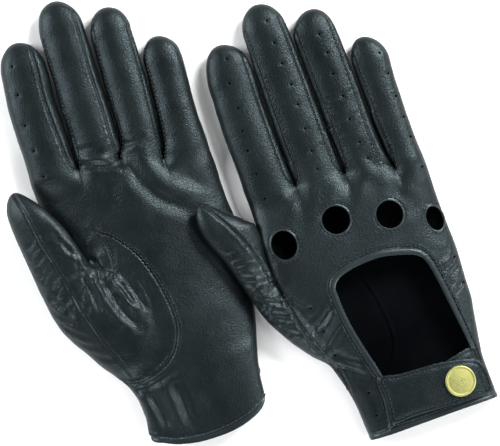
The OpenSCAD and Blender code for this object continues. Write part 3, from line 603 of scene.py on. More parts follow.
L.seam_fingers = [[(-16.5, 213), (-17.5, 200), (-19, 190), (-19.6, 180), (-19.6, 165), (-19.2, 152), (-18, 148.5), (-16, 147)],
                  [(-10.5, 214.5), (-11, 205), (-11.3, 195), (-12.2, 180), (-13.2, 165), (-14.2, 152), (-16, 147)],
                  [(9.5, 224), (8.5, 205), (7, 190), (6.4, 175), (5.8, 165), (4.9, 155), (5, 145)],
                  [(16.5, 215), (13.6, 200), (12.6, 190), (11.4, 175), (10.5, 165), (9.4, 153), (5, 145)],
                  [(32.6, 205), (32.4, 200), (31.4, 190), (30.6, 180), (29.4, 170), (28, 158), (27, 148), (25.5, 137)],
                  [(35.5, 192), (33.8, 183), (32.8, 172), (31.4, 162), (30, 150), (28, 142), (25.5, 137)]]
R.seam_fingers = [[(-27, 206), (-28.5, 190), (-29.5, 170), (-30, 150), (-28.5, 138), (-25, 134)],
                  [(-20.5, 214), (-20, 200), (-20, 180), (-20.5, 160), (-21.5, 142), (-25, 134)],
                  [(-3.5, 217), (-4, 200), (-4.5, 180), (-5, 160), (-4, 142), (0, 131)],
                  [(4.5, 207), (4, 190), (4, 170), (4.5, 150), (4, 138), (0, 131)],
                  [(19.5, 207), (18.8, 190), (18, 170), (17, 150), (18.5, 134), (24.5, 124.5)],
                  [(27, 187), (26.8, 170), (27, 155), (27.5, 138), (24.5, 124.5)]]
R.seam_back = [[(-25.8, 205), (-26.2, 195), (-26.8, 185), (-27.3, 170), (-27.6, 150), (-27.4, 139), (-25, 134)],
               [(-21.6, 214), (-21.6, 203), (-21.9, 190), (-22.4, 170), (-22.8, 150), (-22.6, 139), (-25, 134)],
               [(-2.2, 216), (-2.0, 203), (-2.2, 175), (-2.5, 160), (-2.8, 145), (-2.4, 136), (0, 131)],
               [(2.4, 206), (2.2, 190), (2.2, 170), (2.6, 150), (2.4, 137), (0, 131)],
               [(20.6, 206), (20.6, 190), (20.2, 175), (19.7, 160), (19, 150), (19.2, 140), (20.6, 130), (24.5, 124.5)],
               [(25, 188), (24.9, 175), (25, 160), (25.1, 150), (25.5, 140), (25.6, 131), (24.5, 124.5)]]
SETTING = [(-18, 114), (-13, 110.2), (-8, 103.6), (-4, 97), (-1, 88.5), (1, 80), (2.2, 70), (2.5, 62), (1.6, 55), (-1, 49), (-5, 43.6), (-10, 40), (-15, 38), (-22, 36.5), (-28, 36.7), (-33.5, 38.6)]
QUIRK = [(-18, 114), (-17, 108), (-16.6, 100), (-17, 94), (-18.6, 90), (-21, 92.5), (-23.2, 98), (-27.8, 101)]
L.setting = SETTING; R.setting = sh(SETTING, (-8, -12))
L.quirk = QUIRK; R.quirk = sh(QUIRK[:-1], (-8, -12)) + [(-37, 88)]
L.thumb_seam = [(-29, 42), (-31, 50), (-34.5, 60), (-37, 70), (-39.5, 80), (-41, 90), L.joint_pt]
L.thumb_seam2 = [L.joint_pt, (-44.5, 110), (-46.5, 120), (-47.5, 130), (-48.6, 138), (-50.2, 145.2), (-50.6, 147)]
R.thumb_seam2 = [R.joint_pt, (-54.2, 100), (-56, 108), (-60, 119), (-65, 130), (-71, 140.4), (-72.4, 142.4)]
L.hem = [(-31.5, 11), (-30, 9), (-25, 6.3), (-20, 3.8), (-10, 1.2), (0, 0.2), (10, 0.5), (20, 2.4), (27, 5.6), (31.5, 9.8)]
R.hem = [(-36.5, 3.8), (-28, 3.4), (-23.5, 3.6), (-10, 3.0), (0, 2.7), (10, 2.5), (25, 2.0), (33, 1.6)]
OPEN = [(-25, 75), (-25, 78.5), (-23.4, 81.3), (-20, 83.4), (-13, 85), (-5, 85.5), (2, 85.2), (10, 83.2), (18, 80.2), (21, 77.6), (22.5, 74), (24, 65), (25, 55), (26, 45), (27, 34), (27.3, 26), (26, 19), (20, 15), (0, 14), (-14, 15), (-17.5, 20), (-18.3, 28), (-19.5, 35), (-21, 42), (-23, 52), (-24.5, 62), (-25, 70)]
BIND = [(-28.4, 75), (-28, 79.4), (-26.3, 83), (-23, 85.6), (-17, 87.6), (-8, 88.8), (2, 88.8), (10, 87), (18, 84), (23, 80), (25.2, 75), (26.7, 65), (27.8, 55), (28.6, 45), (29.2, 35), (29.6, 26), (28.6, 17.5), (22, 12.6), (0, 11.4), (-15, 12), (-20, 18), (-21, 28), (-22.8, 35.5), (-24.4, 43), (-26.3, 52), (-27.7, 62), (-28.4, 70)]
HOLES = [(-41, 108, 12.5, 14.5), (-12.5, 110.5, 14, 14), (13.5, 103.5, 13.5, 14), (34.2, 93.5, 8.8, 12.5)]
L.open, L.bind = sh(OPEN, (3, 1)), sh(BIND, (3, 1)); R.open, R.bind = OPEN, BIND
L.knuckle = [(a + 8, b + 12, c * 0.94, d * 0.94) for a, b, c, d in HOLES]; L.knuckle[0] = (-30.5, 121, 12, 13.5)
R.knuckle = HOLES
L.side = []; R.side = [(-51, 86), (-50, 82), (-48.6, 74), (-46.8, 65), (-44, 55), (-41.4, 48), (-38, 41), (-36.4, 33), (-36.2, 26)]
R.perf = [(-34.5, 205), (-37.5, 193), (-38, 180), (-40, 168.5), (-41, 158.5), (-41, 146), (-41.5, 133),
          (-9, 215.5), (-9.5, 204), (-9.5, 193), (-9, 181.5), (-9.5, 171), (-10.5, 158.5), (-11.5, 147), (-12, 137.5),
          (13, 200), (13.5, 190), (12.5, 179), (13, 167), (12, 155), (12.5, 142.5), (13.5, 133.5),
          (38, 180.5), (38.5, 169.5), (38, 157.5), (38, 146.5), (37.6, 136), (37.4, 120), (-40, 74), (-38, 61), (-37, 47.5), (-28, 24), (-28.5, 12), (36.5, 72), (36.4, 58.5)]
L.perf_top = [(-28.5, 206.5), (-31, 192), (-33, 176.5), (-33.5, 163), (-33.5, 149.5)]
L.faint = [(-2, 202.5), (-3, 188), (23, 209), (21, 181), (18.5, 165), (43, 182.5), (42, 168), (40, 141.5)]
L.perf_bot = [(22.5, 206), (0, 216), (0, 200), (0, 184), (-2, 168), (-3, 152), (22, 192), (20, 178), (18, 162), (-26, 192), (-28, 176), (44, 180), (44, 164), (43, 148), (-30, 86), (-29, 74), (-27, 60), (42, 84), (42, 70)]

L.creases["t"] = [([(-13, 151.5), (-5, 148), (1, 145.5)], 0.75, 1.7), ([(-15, 148.2), (-6, 144.6), (4, 142)], -0.9, 1.5), ([(-12, 156), (-4, 154.5), (3, 155.5)], -0.3, 1.0),
    ([(9, 151), (14, 149.6), (20, 151)], -0.5, 0.9), ([(9, 147), (14, 146.5), (19, 147.5)], 0.3, 1.0),
    ([(7, 148), (9, 140), (11, 130), (15.5, 121), (22, 114), (32, 108)], -0.75, 3.4), ([(16, 144), (18.5, 132), (23, 122), (32, 114)], 0.4, 3.6),
    ([(-1, 140), (-6, 128), (-10, 118)], -0.5, 4.0), ([(30, 134), (35, 122), (42, 112)], -0.6, 3.4),
    ([(-27.5, 101.5), (-24.5, 95), (-22.5, 84), (-20, 72), (-15, 62)], -1.1, 1.9), ([(-23.5, 97), (-19.5, 86), (-16, 76), (-11, 68)], 0.8, 1.8),
    ([(-18.5, 89), (-15.5, 81), (-13.5, 73)], -0.9, 1.1), ([(-13, 84), (-11, 77), (-9.5, 70)], -0.7, 1.0), ([(-8, 86), (-6, 79), (-5, 72)], -0.35, 0.9),
    ([(-30, 98), (-28, 88), (-27, 78), (-24, 68)], 0.7, 1.9), ([(-33, 97), (-31.5, 88), (-31, 78)], -0.7, 1.2), ([(-26, 90), (-24.5, 82), (-23, 76)], -0.6, 0.8),
    ([(-37, 96), (-35, 90), (-34, 84)], -0.4, 0.8), ([(-52, 92), (-47, 84), (-44, 79)], -0.5, 1.0), ([(-54, 86), (-49, 79), (-45, 75)], -0.4, 0.8), ([(-53, 80), (-48, 72), (-42, 67)], -0.45, 1.0),
    ([(-50, 70), (-45, 64), (-39, 60)], -0.35, 1.1), ([(-44, 60), (-38, 54), (-33, 52)], -0.3, 1.2),
    ([(-24, 34), (-21.5, 24), (-20.5, 14), (-21, 6)], -1.2, 2.6), ([(-15, 33), (-14, 24), (-13.5, 14), (-13, 6)], 0.9, 2.6), ([(-9, 28), (-8.5, 20), (-9, 10)], -0.7, 1.8),
    ([(-28, 34), (-26, 26), (-25.5, 16)], 0.6, 2.0), ([(3, 26), (4, 14), (4, 5)], -0.3, 3.5), ([(-30, 33), (-18, 33.5), (-8, 36)], -0.6, 1.6)]
L.creases["b"] = [([(-20, 34), (0, 36), (22, 34)], -0.4, 2.4), ([(-16, 132), (0, 130), (22, 126)], -0.4, 3.0)]
R.creases["t"] = [([(-30, 71), (-37, 66), (-45, 61.5)], -0.8, 1.3), ([(-29, 67.5), (-37, 61.5), (-43, 58)], 0.6, 1.4), ([(-27, 63), (-34, 58), (-42, 52)], -0.5, 1.2),
    ([(-37, 45), (-32, 40.5), (-26, 36)], 0.9, 1.4), ([(-37, 41), (-32, 37), (-27, 32.5)], -0.5, 1.2), ([(-36, 30), (-33.5, 20), (-33, 10)], -0.4, 1.8), ([(-24, 26), (-24.5, 16), (-25, 8)], 0.3, 1.5),
    ([(5, 168.5), (11, 167), (19, 168.5)], -0.35, 0.8), ([(4, 158), (10, 155.6), (17, 157)], -0.4, 0.9), ([(5, 150), (10, 149), (16, 150.5)], -0.3, 0.8),
    ([(20, 124), (15, 131), (13, 139)], -0.4, 2.4), ([(2, 128), (-2, 120), (-6, 116)], -0.7, 3.2), ([(26, 121), (22, 112), (24, 104)], -0.8, 3.4), ([(-25, 131), (-26, 122), (-30, 114)], -0.5, 3.2),
    ([(30, 62), (34, 66), (38, 68)], -0.5, 1.2), ([(29, 54), (33, 57), (37, 61)], -0.4, 1.0), ([(29, 70), (33, 72), (37, 77)], 0.35, 1.2), ([(31, 40), (33, 46), (35, 54)], -0.35, 1.4),
    ([(-64, 90), (-57, 84), (-50, 80)], -0.8, 1.0), ([(-65, 86), (-58, 78), (-50.5, 74)], -0.7, 0.9), ([(-63, 80), (-57, 73), (-50, 69)], -0.7, 0.9), ([(-61, 75), (-55, 67), (-49, 63)], -0.6, 0.9),
    ([(-58, 70), (-52, 62), (-46.5, 57)], -0.5, 0.9), ([(-66, 91), (-61, 87), (-55, 86)], 0.5, 0.9), ([(-53, 62), (-48, 55), (-44, 50)], -0.4, 0.9)]
R.creases["b"] = [([(-30, 120), (-10, 118), (12, 116)], -0.4, 3.0)]
L.creases["tt"] = [([(-55, 104), (-50, 103), (-45, 106)], -0.4, 0.9), ([(-30, 104), (-35, 112), (-38, 120)], -0.5, 1.3), ([(-57, 112), (-52, 110), (-47, 113)], -0.35, 0.9), ([(-33, 103), (-38, 109), (-41, 116)], -0.35, 1.0), ([(-57, 120), (-53, 119), (-49, 121)], -0.2, 0.8)]
L.creases["tb"] = []
R.creases["tt"] = [([(-69, 98), (-62, 95.5), (-54, 95)], -0.7, 0.9), ([(-70, 104), (-64, 99.5), (-55, 98.5)], -0.6, 0.9), ([(-66, 95), (-60, 93.4), (-53, 93.6)], 0.5, 0.8), ([(-71, 109), (-66, 105), (-60, 104.5)], -0.4, 0.9), ([(-73, 116), (-69, 113), (-65, 113)], -0.2, 0.9)]
R.creases["tb"] = []

class Lines:
    """Seam marks laid on a surface: (polyline, groove depth, groove width, shoulder height, shoulder distance)."""
    def __init__(s): s.rows = []
    def add(s, pts, groove=-0.5, gw=0.42, sh_=0.2, sd=1.25, sw=0.7, closed=False, raw=False):
        q = np.asarray(pts, float) if raw else spline(pts, 0.6, closed)
        s.rows.append((Near(dense(q, closed, 0.3)), q.min(0) - 4, q.max(0) + 4, groove, gw, sh_, sd, sw)); return q
    def field(s, p):
        g = np.zeros(len(p)); h = np.zeros(len(p))
        for near, lo, hi, gr, gw, s_, sd, sw in s.rows:
            m = (p[:, 0] > lo[0]) & (p[:, 0] < hi[0]) & (p[:, 1] > lo[1]) & (p[:, 1] < hi[1])
            if not m.any(): continue
            x = near.dist(p[m, :2])
            g[m] = np.minimum(g[m], gr * np.exp(-(x / gw) ** 2)) if gr < 0 else np.maximum(g[m], gr * np.exp(-(x / gw) ** 2))
            h[m] = np.maximum(h[m], s_ * np.exp(-((x - sd) / sw) ** 2))
        return g + h * (1 - np.minimum(1, np.abs(g) / 0.5))

def wrinkle_at(rows, p, amp=1.0):
    d = amp * (0.30 * noise(p, 21, 1) + 0.20 * noise(p, 9, 5) + 0.07 * noise(p, 4, 9) + 0.022 * noise(p, 1.9, 3))
    for pts, depth, width in rows:
        q = np.asarray(spline(pts, 0.8), float); lo, hi = q.min(0) - 4 * width, q.max(0) + 4 * width
        m = (p[:, 0] > lo[0]) & (p[:, 0] < hi[0]) & (p[:, 1] > lo[1]) & (p[:, 1] < hi[1])
        if not m.any(): continue
        x = Near(dense(q, step=0.4)).dist(p[m, :2])
        a = np.linalg.norm(p[m, :2] - q[0], axis=1); b = np.linalg.norm(p[m, :2] - q[-1], axis=1)
        fade = 0.15 + 0.85 * smooth(0, 3.2 * width, np.minimum(a, b))
        d[m] += fade * (depth * np.exp(-(x / width) ** 2) - 0.35 * depth * np.exp(-((x - 2.0 * width) / (1.1 * width)) ** 2))
    return d

def crumple(p, centre, radius, angle, amp, along=7.0, across=1.9, shift=0.0):
    c, s = math.cos(angle), math.sin(angle)
    q = p - np.array([centre[0], centre[1], 0])
    w = np.exp(-((q[:, 0] / radius[0]) ** 2 + (q[:, 1] / radius[1]) ** 2))
    r = np.stack([(q[:, 0] * c + q[:, 1] * s) / along, (-q[:, 0] * s + q[:, 1] * c) / across, q[:, 2] / 6], 1)
    r[:, 1] += 0.8 * noise(p, 6, 11)
    k = noise(r * 3, 3, shift) ; k = 1 - np.abs(k) * 2.2
    return amp * w * (k - 0.4)

from mathutils.bvhtree import BVHTree
class Surface:
    def __init__(s, v, f):
        s.t = BVHTree.FromPolygons([tuple(x) for x in v], [tuple(int(i) for i in x) for x in f])
    def at(s, x, y, up=True):
        r = s.t.ray_cast(Vector((x, y, 60 if up else -40)), Vector((0, 0, -1 if up else 1)))
        return None if r[0] is None else (np.array(r[0]), np.array(r[1]))
    def near(s, p):
        r = s.t.find_nearest(Vector(p)); return np.array(r[0]), np.array(r[1])

def offset_line(pts, d, closed=False):
    p = np.asarray(pts, float); t = (np.roll(p, -1, 0) - np.roll(p, 1, 0)) if closed else np.gradient(p, axis=0)
    t /= np.maximum(1e-9, np.linalg.norm(t, axis=1))[:, None]
    return p + np.stack([-t[:, 1], t[:, 0]], 1) * d

def sew(surf, line, thread_for, up=True, pitch=2.5, length=1.75, closed=False, r=0.29, lift=0.06):
    q = even(line, pitch, closed); n = len(q)
    for i in range(n if closed else n - 1):
        a, b = q[i], q[(i + 1) % n]; m = (a + b) / 2; d = (b - a) / max(1e-9, np.linalg.norm(b - a)) * length / 2
        ra, rb = surf.at(*(m - d), up=up), surf.at(*(m + d), up=up)
        if ra is None or rb is None: continue
        nn = ra[1] + rb[1]; nn = nn / max(1e-9, np.linalg.norm(nn))
        if (nn[2] < 0) == up: nn = -nn
        if np.linalg.norm(ra[0] - rb[0]) > 1.7 * length or abs(nn[2]) < 0.3: continue
        th = thread_for(m)
        if th is not None:
            th.add(ra[0] + nn * lift, rb[0] + nn * lift, nn, r)

def ellipse(cx, cy, rx, ry, n):
    a = np.arange(n) / n * 2 * math.pi
    return np.stack([cx + rx * np.cos(a), cy + ry * np.sin(a)], 1)

FING = ("index", "middle", "ring", "little")
def body_of_node(g, key):
    for k in FING:
        if key.startswith(k): return k
    if key in ("thumb_front", "thumb_back"): return "thumb"
    if key in ("strap", "snap_cap"): return "strap_flap"
    return "hand"

def fasten(ob, g, body):
    """Make a piece move with its body: fingers and thumbs bend out of the hand."""
    if body == "hand":
        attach(ob, g.id + "_hand"); return
    if body == "strap_flap":
        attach(ob, g.id + "_strap_flap"); return
    if body == "thumb":
        a, b = np.array(g.t.base[0]), np.array(g.t.base[1]); n = np.array([-(b - a)[1], (b - a)[0]]); n = n / np.linalg.norm(n)
    else:
        f = g.f[FING.index(body)]; i = FING.index(body)
        y0 = max(f.cut, g.crotch[max(0, i - 1)][1], g.crotch[min(2, i)][1]) + 0.1
        xm = float((f.xl(y0) + f.xr(y0)) / 2)
    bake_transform(ob)

def build_glove(g):
    palm_up = g.id == "l"
    a_, b_ = np.array(g.t.base[0], float), np.array(g.t.base[1], float)
    def base_y(x): return a_[1] + (x - a_[0]) * (b_[1] - a_[1]) / (b_[0] - a_[0])
    base_pts = base_line(g)
    cut = [(float(g.hl(g.f[0].cut)) - 3, g.f[0].cut)] + list(g.crotch) + [(float(g.hr(g.f[3].cut)) + 3, g.f[3].cut)]
    cx, cy = [c[0] for c in cut], [c[1] for c in cut]
    setting = spline(g.setting, 0.6)
    gusset_poly = np.vstack([setting, [(-85, g.setting[-1][1] - 3), (-85, a_[1]), tuple(b_), tuple(b_ + (0.1, 2.0))]])
    quirk_poly = np.vstack([spline(g.quirk, 0.7)])
    edge_line = np.array([(float(g.hl(y)), y) for y in np.arange(37, b_[1], 0.8)])
    hem = spline(g.hem, 0.8)
    strip = np.array([(-22.0, 29.5), (-22.4, 20), (-23.3, 12), (-24.4, 6.4), (-26, 4.2), (-24, 3.4), (-21.6, 4.6), (-20.2, 11), (-19.4, 20), (-19.2, 29.5)]) + ((3, 1) if palm_up else (0, 0))
    sheets = []
    def classify(cent, sd, kind):
        x, y = cent[:, 0], cent[:, 1]; back = (sd == "t") != palm_up
        key = np.full(len(cent), "back_panel" if back else "palm_panel", dtype=object)
        if kind == "thumb":
            if sd == "t":
                ts = spline(g.thumb_seam2, 0.6); xs = np.interp(y, ts[:, 1], ts[:, 0])
                right = x > xs
                key[:] = "thumb_back"
                if palm_up: key[right] = "thumb_front"
                else: key[~right] = "thumb_front"
            else:
                key[:] = "thumb_back" if palm_up else "thumb_front"
            return key
        if back:
            m = (x < g.hl(y)) & (y > 36) & (y < b_[1] + 0.2); key[m] = "thumb_gusset_back"
        else:
            m = inside(gusset_poly, cent); key[m] = "thumb_gusset"
            if palm_up:
                ts = spline(g.thumb_seam, 0.6); xs = np.interp(y, ts[:, 1], ts[:, 0]); key[m & (x < xs) & (y > 42)] = "thumb_gusset_back"
            else:
                key[m & (x < g.hl(y) - 6)] = "thumb_gusset_back"
            key[inside(quirk_poly, cent)] = "thumb_quirk"
        hy = np.interp(x, hem[:, 0], hem[:, 1]); key[y < hy] = "cuff_hem"
        if back:
            key[inside(np.array(g.bind, float) if False else bind_loop, cent)] = "opening_binding"
            key[inside(strip, cent)] = "opening_binding"
            for (kx, ky, w, h) in g.knuckle:
                key[((x - kx) / (w / 2 + 1.0)) ** 2 + ((y - ky) / (h / 2 + 1.0)) ** 2 < 1] = "knuckle_facings"
        fi = finger_of(g, x, y); up = y > np.interp(x, cx, cy)
        for i, nm in enumerate(FING):
            m = up & (fi == i); key[m] = nm + ("_back" if back else "_front")
        if not back or hasattr(g, "seam_back"):
            names = ["index_fourchette", "middle_fourchettes", "middle_fourchettes", "ring_fourchettes", "ring_fourchettes", "little_fourchette"]
            for j, sm in enumerate(g.seam_back if back else g.seam_fingers):
                q = spline(sm, 0.6); i = (j + 1) // 2; xs = np.interp(y, q[::-1, 1], q[::-1, 0])
                m = up & (fi == i) & (y < q[0, 1]) & ((x > xs) if j % 2 == 0 else (x < xs)); key[m] = names[j]
        return key
    open_loop = spline(g.open, 0.6, True); bind_loop = spline(g.bind, 0.6, True)
    if area2(open_loop) < 0: open_loop = open_loop[::-1]
    for kind, sd in (("hand", "t"), ("hand", "b"), ("thumb", "t"), ("thumb", "b")):
        back = (sd == "t") != palm_up
        holes, lines, marks = [], [], Lines()
        if kind == "hand":
            out, weld = outline_of(g, sd)
            lines.append(even(np.array(cut), 0.9))
            lines.append(hem); marks.add(hem, -0.35, 0.4, 0.25, 1.3, 0.8, raw=True)
            if back:
                holes.append(open_loop)
                for (kx, ky, w, h) in g.knuckle:
                    lp = ellipse(kx, ky, w / 2, h / 2, 56); holes.append(lp); rl = ellipse(kx, ky, w / 2 + 1.0, h / 2 + 1.0, 60); rl = np.vstack([rl, rl[:1]]); lines.append(rl)
                    marks.add(rl, -0.22, 0.3, 0.0, 1.2, 0.7, raw=True)
                bl = np.vstack([bind_loop, bind_loop[:1]]); lines.append(bl); marks.add(bl, -0.5, 0.42, 0.16, 1.2, 0.8, raw=True)
                st = np.vstack([strip, strip[:1]]); st = even(st, 0.8); lines.append(st); marks.add(st, -0.4, 0.4, 0.12, 1.2, 0.7, raw=True)
                lines.append(edge_line); marks.add(edge_line, -0.6, 0.5, 0.25, 1.2, 0.8, raw=True)
                for sm in getattr(g, "seam_back", []):
                    q = spline(sm, 0.7); lines.append(q); marks.add(q, -0.75, 0.55, 0.32, 1.35, 0.6, raw=True)
                if g.side:
                    sl = spline(g.side, 0.7); lines.append(sl); marks.add(sl, -0.45, 0.4, 0.25, 1.1, 0.7, raw=True)
            else:
                lines.append(setting); marks.add(setting, -0.7, 0.42, 0.42, 1.1, 0.6, raw=True)
                q = spline(g.quirk[:-1], 0.6); lines.append(q); marks.add(q, -0.4, 0.4, 0.15, 1.0, 0.6, raw=True)
                if palm_up:
                    q = spline(g.thumb_seam, 0.7); lines.append(q)
                for sm in g.seam_fingers:
                    q = spline(sm, 0.7); lines.append(q); marks.add(q, -0.62, 0.42, 0.3, 1.1, 0.6, raw=True)
            perf = (g.perf if g.id == "r" else g.perf_bot) if back else (g.perf_top if g.id == "l" else [])
            for (px, py) in perf:
                holes.append(ellipse(px, py, 0.62, 0.62, 9))
            if not back and palm_up:
                for (px, py) in g.faint: marks.rows.append((Near([(px, py)]), np.array((px - 3, py - 3)), np.array((px + 3, py + 3)), -0.16, 0.6, 0.05, 1.3, 0.6))
            for (px, py) in perf: marks.rows.append((Near([(px, py)]), np.array((px - 4, py - 4)), np.array((px + 4, py + 4)), -0.3, 1.0, 0.0, 1.3, 0.6))
        else:
            t = g.t; P, W = [], []
            for q in base_pts: P.append(q); W.append(False)
            for y in np.arange(b_[1] + 0.8, t.yd, 0.8): P.append((float(t.xr(y)), y)); W.append(True)
            th = np.linspace(0, math.pi, 44)[1:-1]
            for q in th:
                k = math.sin(q); y = t.yd + (t.ty - t.yd) * k; xa, xb = float(t.xl(y)), float(t.xr(y)); xc = (xa + xb) / 2; w = (xb - xa) / 2; xc = xc + (t.tx - xc) * k * k
                P.append((xc + w * math.cos(q), y)); W.append(True)
            for y in np.arange(t.yd, a_[1] + 0.5, -0.8): P.append((float(t.xl(y)), y)); W.append(True)
            out, weld = np.array(P), np.array(W)
            if sd == "t": lines.append(spline(g.thumb_seam2, 0.7))
        if sd == "t":
            if palm_up: marks.add(g.thumb_seam, -0.62, 0.5, 0.28, 1.3, 0.8)
            marks.add(g.thumb_seam2, -0.62, 0.5, 0.28, 1.3, 0.8)
        v2, f = triangulate(out, holes, lines)
        on_out = Near(out); di = on_out.dist(v2); ix = on_out.idx(v2); edge = di < 1e-3
        wl = edge & weld[ix]
        if kind == "hand":
            mid, top, low = heights(g, v2, True)
        else:
            hm, ht, hl_ = heights(g, v2, "all"); m2, t2, l2 = thumb_h(g, v2[:, 0], v2[:, 1])
            fd = smooth(0, 9, v2[:, 1] - base_y(v2[:, 0])); mid = m2 + (hm - m2) * (1 - fd); top = t2 + (ht - t2) * (1 - fd); low = l2 + (hl_ - l2) * (1 - fd)
            low = np.maximum(low, 0.05)
        z = np.where(wl, mid, top if sd == "t" else low)
        v = np.column_stack([v2, z])
        if sd == "b": f = f[:, ::-1]
        rim = [np.linspace(out[i], out[(i + 1) % len(out)], 5)[:-1] for i in range(len(out)) if weld[i] and weld[(i + 1) % len(out)]]
        dist = Near(np.vstack(rim)).dist(v2)
        tg = np.roll(out, -1, 0) - np.roll(out, 1, 0); tg /= np.maximum(1e-9, np.linalg.norm(tg, axis=1))[:, None]
        side = (1 if area2(out) > 0 else -1) * np.column_stack([tg[:, 1], -tg[:, 0], np.zeros(len(tg))])
        sheets.append(dict(out_n=side[ix], kind=kind, sd=sd, back=back, v=v, f=f, edge=edge, weld=wl, dist=dist, marks=marks, d2=v2))
    # one set of joined corners for the whole glove
    offs = np.cumsum([0] + [len(s["v"]) for s in sheets]); allv = np.vstack([s["v"] for s in sheets]); alle = np.concatenate([s["edge"] for s in sheets])
    groups = {}
    for i in np.nonzero(alle)[0]:
        groups.setdefault((round(allv[i, 0], 3), round(allv[i, 1], 3)), []).append(i)
    pairs = []
    for idx in groups.values():
        for i in range(len(idx)):
            for j in range(i + 1, len(idx)):
                if abs(allv[idx[i], 2] - allv[idx[j], 2]) < 0.08: pairs.append((idx[i], idx[j]))
    pairs = np.array(pairs) if pairs else np.zeros((0, 2), int)
    rim_n = np.vstack([s["out_n"] for s in sheets]); rim_w = np.concatenate([s["weld"] for s in sheets])
    def joined(n):
        m = n.copy(); bad = rim_w & ((m * rim_n).sum(1) < 0.05); m[bad] = rim_n[bad]
        for _ in range(2):
            k = m.copy(); np.add.at(k, pairs[:, 0], m[pairs[:, 1]]); np.add.at(k, pairs[:, 1], m[pairs[:, 0]])
            m = k / np.maximum(1e-9, np.linalg.norm(k, axis=1))[:, None]
        bad = rim_w & ((m * rim_n).sum(1) < 0.6); m[bad] = rim_n[bad]
        return m
    N = joined(np.vstack([vertex_normals(s["v"], s["f"]) for s in sheets]))
    for k, s in enumerate(sheets):
        p = s["v"]; n = N[offs[k]:offs[k + 1]]; x, y = p[:, 0], p[:, 1]
        rows = g.creases.get(s["sd"], []) + (g.creases.get("t" + s["sd"], []) if True else [])
        amp = 0.9 - 0.55 * smooth(40, 24, y)
        if g.id == "r" and s["sd"] == "t": amp = amp * 0.85
        base = wrinkle_at([], p) * amp
        full = wrinkle_at(rows, p) - wrinkle_at([], p)
        if s["sd"] == "t":
            if palm_up:
                full = full + crumple(p, (-23, 96), (9, 16), 1.35, 0.75, 7, 2.0) + crumple(p, (-33, 90), (8, 17), 1.25, 0.5, 8, 2.1, 3) + crumple(p, (-50, 88), (8, 24), 0.95, 0.42, 8, 2.0, 5) + crumple(p, (-12, 80), (9, 14), 1.4, 0.3, 8, 2.2, 9) + crumple(p, (-50, 112), (8, 16), 0.3, 0.28, 8, 2.2, 12) + crumple(p, (-34, 112), (6, 14), 1.9, 0.4, 8, 2.0, 15)
            else:
                full = full + crumple(p, (-59, 84), (8, 22), 0.75, 0.8, 8, 1.9) + crumple(p, (-63, 102), (9, 12), 0.15, 0.6, 8, 1.9, 4) + crumple(p, (-38, 62), (10, 12), 0.6, 0.35, 7, 2.0, 7) + crumple(p, (33, 58), (5, 22), 0.7, 0.3, 6, 1.9, 8)
        d = base + full * smooth(0, 1.6, s["dist"]) + s["marks"].field(p) * smooth(0, 0.9, s["dist"])
        if s["kind"] == "hand":
            hy = np.interp(x, hem[:, 0], hem[:, 1]); d += 0.3 * smooth(0.1, 0.7, hy - y)
            if s["back"]:
                q = Near(open_loop).dist(s["d2"]); ib = inside(bind_loop, s["d2"]) 
                d = np.where(ib, 0.15 * d + 0.75 * dome((q - 1.6) / 1.75, 2.2) - 0.1, d)
                istr = inside(strip, s["d2"]); cl = (strip[:5] + strip[:4:-1]) / 2; qs = Near(dense(cl)).dist(s["d2"]); d = np.where(istr, 0.3 * d + 0.95 * dome(qs / 1.75, 2.2), d)
                for (kx, ky, w, h) in g.knuckle:
                    rr = np.sqrt(((x - kx) / (w / 2)) ** 2 + ((y - ky) / (h / 2)) ** 2); e = (rr - 1) * (w + h) / 4
                    d = np.where((e < 1.0) & (e > -0.1), 0.4 * d + 0.28 * dome((e - 0.45) / 0.62, 2.2), d)
        s["d"] = d
    D = np.concatenate([s["d"] for s in sheets])
    for _ in range(2):
        mean = (D[pairs[:, 0]] + D[pairs[:, 1]]) / 2; D[pairs[:, 0]] = mean; D[pairs[:, 1]] = mean
    V = allv + N * D[:, None]
    V[:, 2] = np.maximum(V[:, 2], 0.03)
    # faces of all sheets
    for k, s in enumerate(sheets): s["V"] = V[offs[k]:offs[k + 1]]
    N = joined(np.vstack([vertex_normals(s["V"], s["f"]) for s in sheets]))
    for k, s in enumerate(sheets):
        s["N"] = N[offs[k]:offs[k + 1]]; s["surf"] = Surface(s["V"], s["f"])
        s["key"] = classify(s["d2"][s["f"]].mean(1), s["sd"], s["kind"])
    parts = {}
    for s in sheets:
        for key in sorted(set(s["key"])):
            parts.setdefault(key, []).append((s, s["f"][s["key"] == key]))
    made = {}
    o = g.o
    for key, chunks in parts.items():
        v = np.vstack([s["V"] for s, _ in chunks]); n = np.vstack([s["N"] for s, _ in chunks]); ff = []; a = 0
        for s, f in chunks: ff.append(f + a); a += len(s["V"])
        edge = key in ("opening_binding", "knuckle_facings", "cuff_hem")
        th = THICK
        ob = shell(g.id + "_" + key + "_made", v + o, n, np.vstack(ff), th, M_EDGE if edge else M_LEATHER, M_INSIDE)
        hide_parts(g.id + "_" + key)
        fasten(ob, g, body_of_node(g, key)); made[key] = ob
    g.sheets = sheets
    return sheets, made, dict(cx=cx, cy=cy, open=open_loop, bind=bind_loop, strip=strip, hem=hem, setting=setting, base_y=base_y)

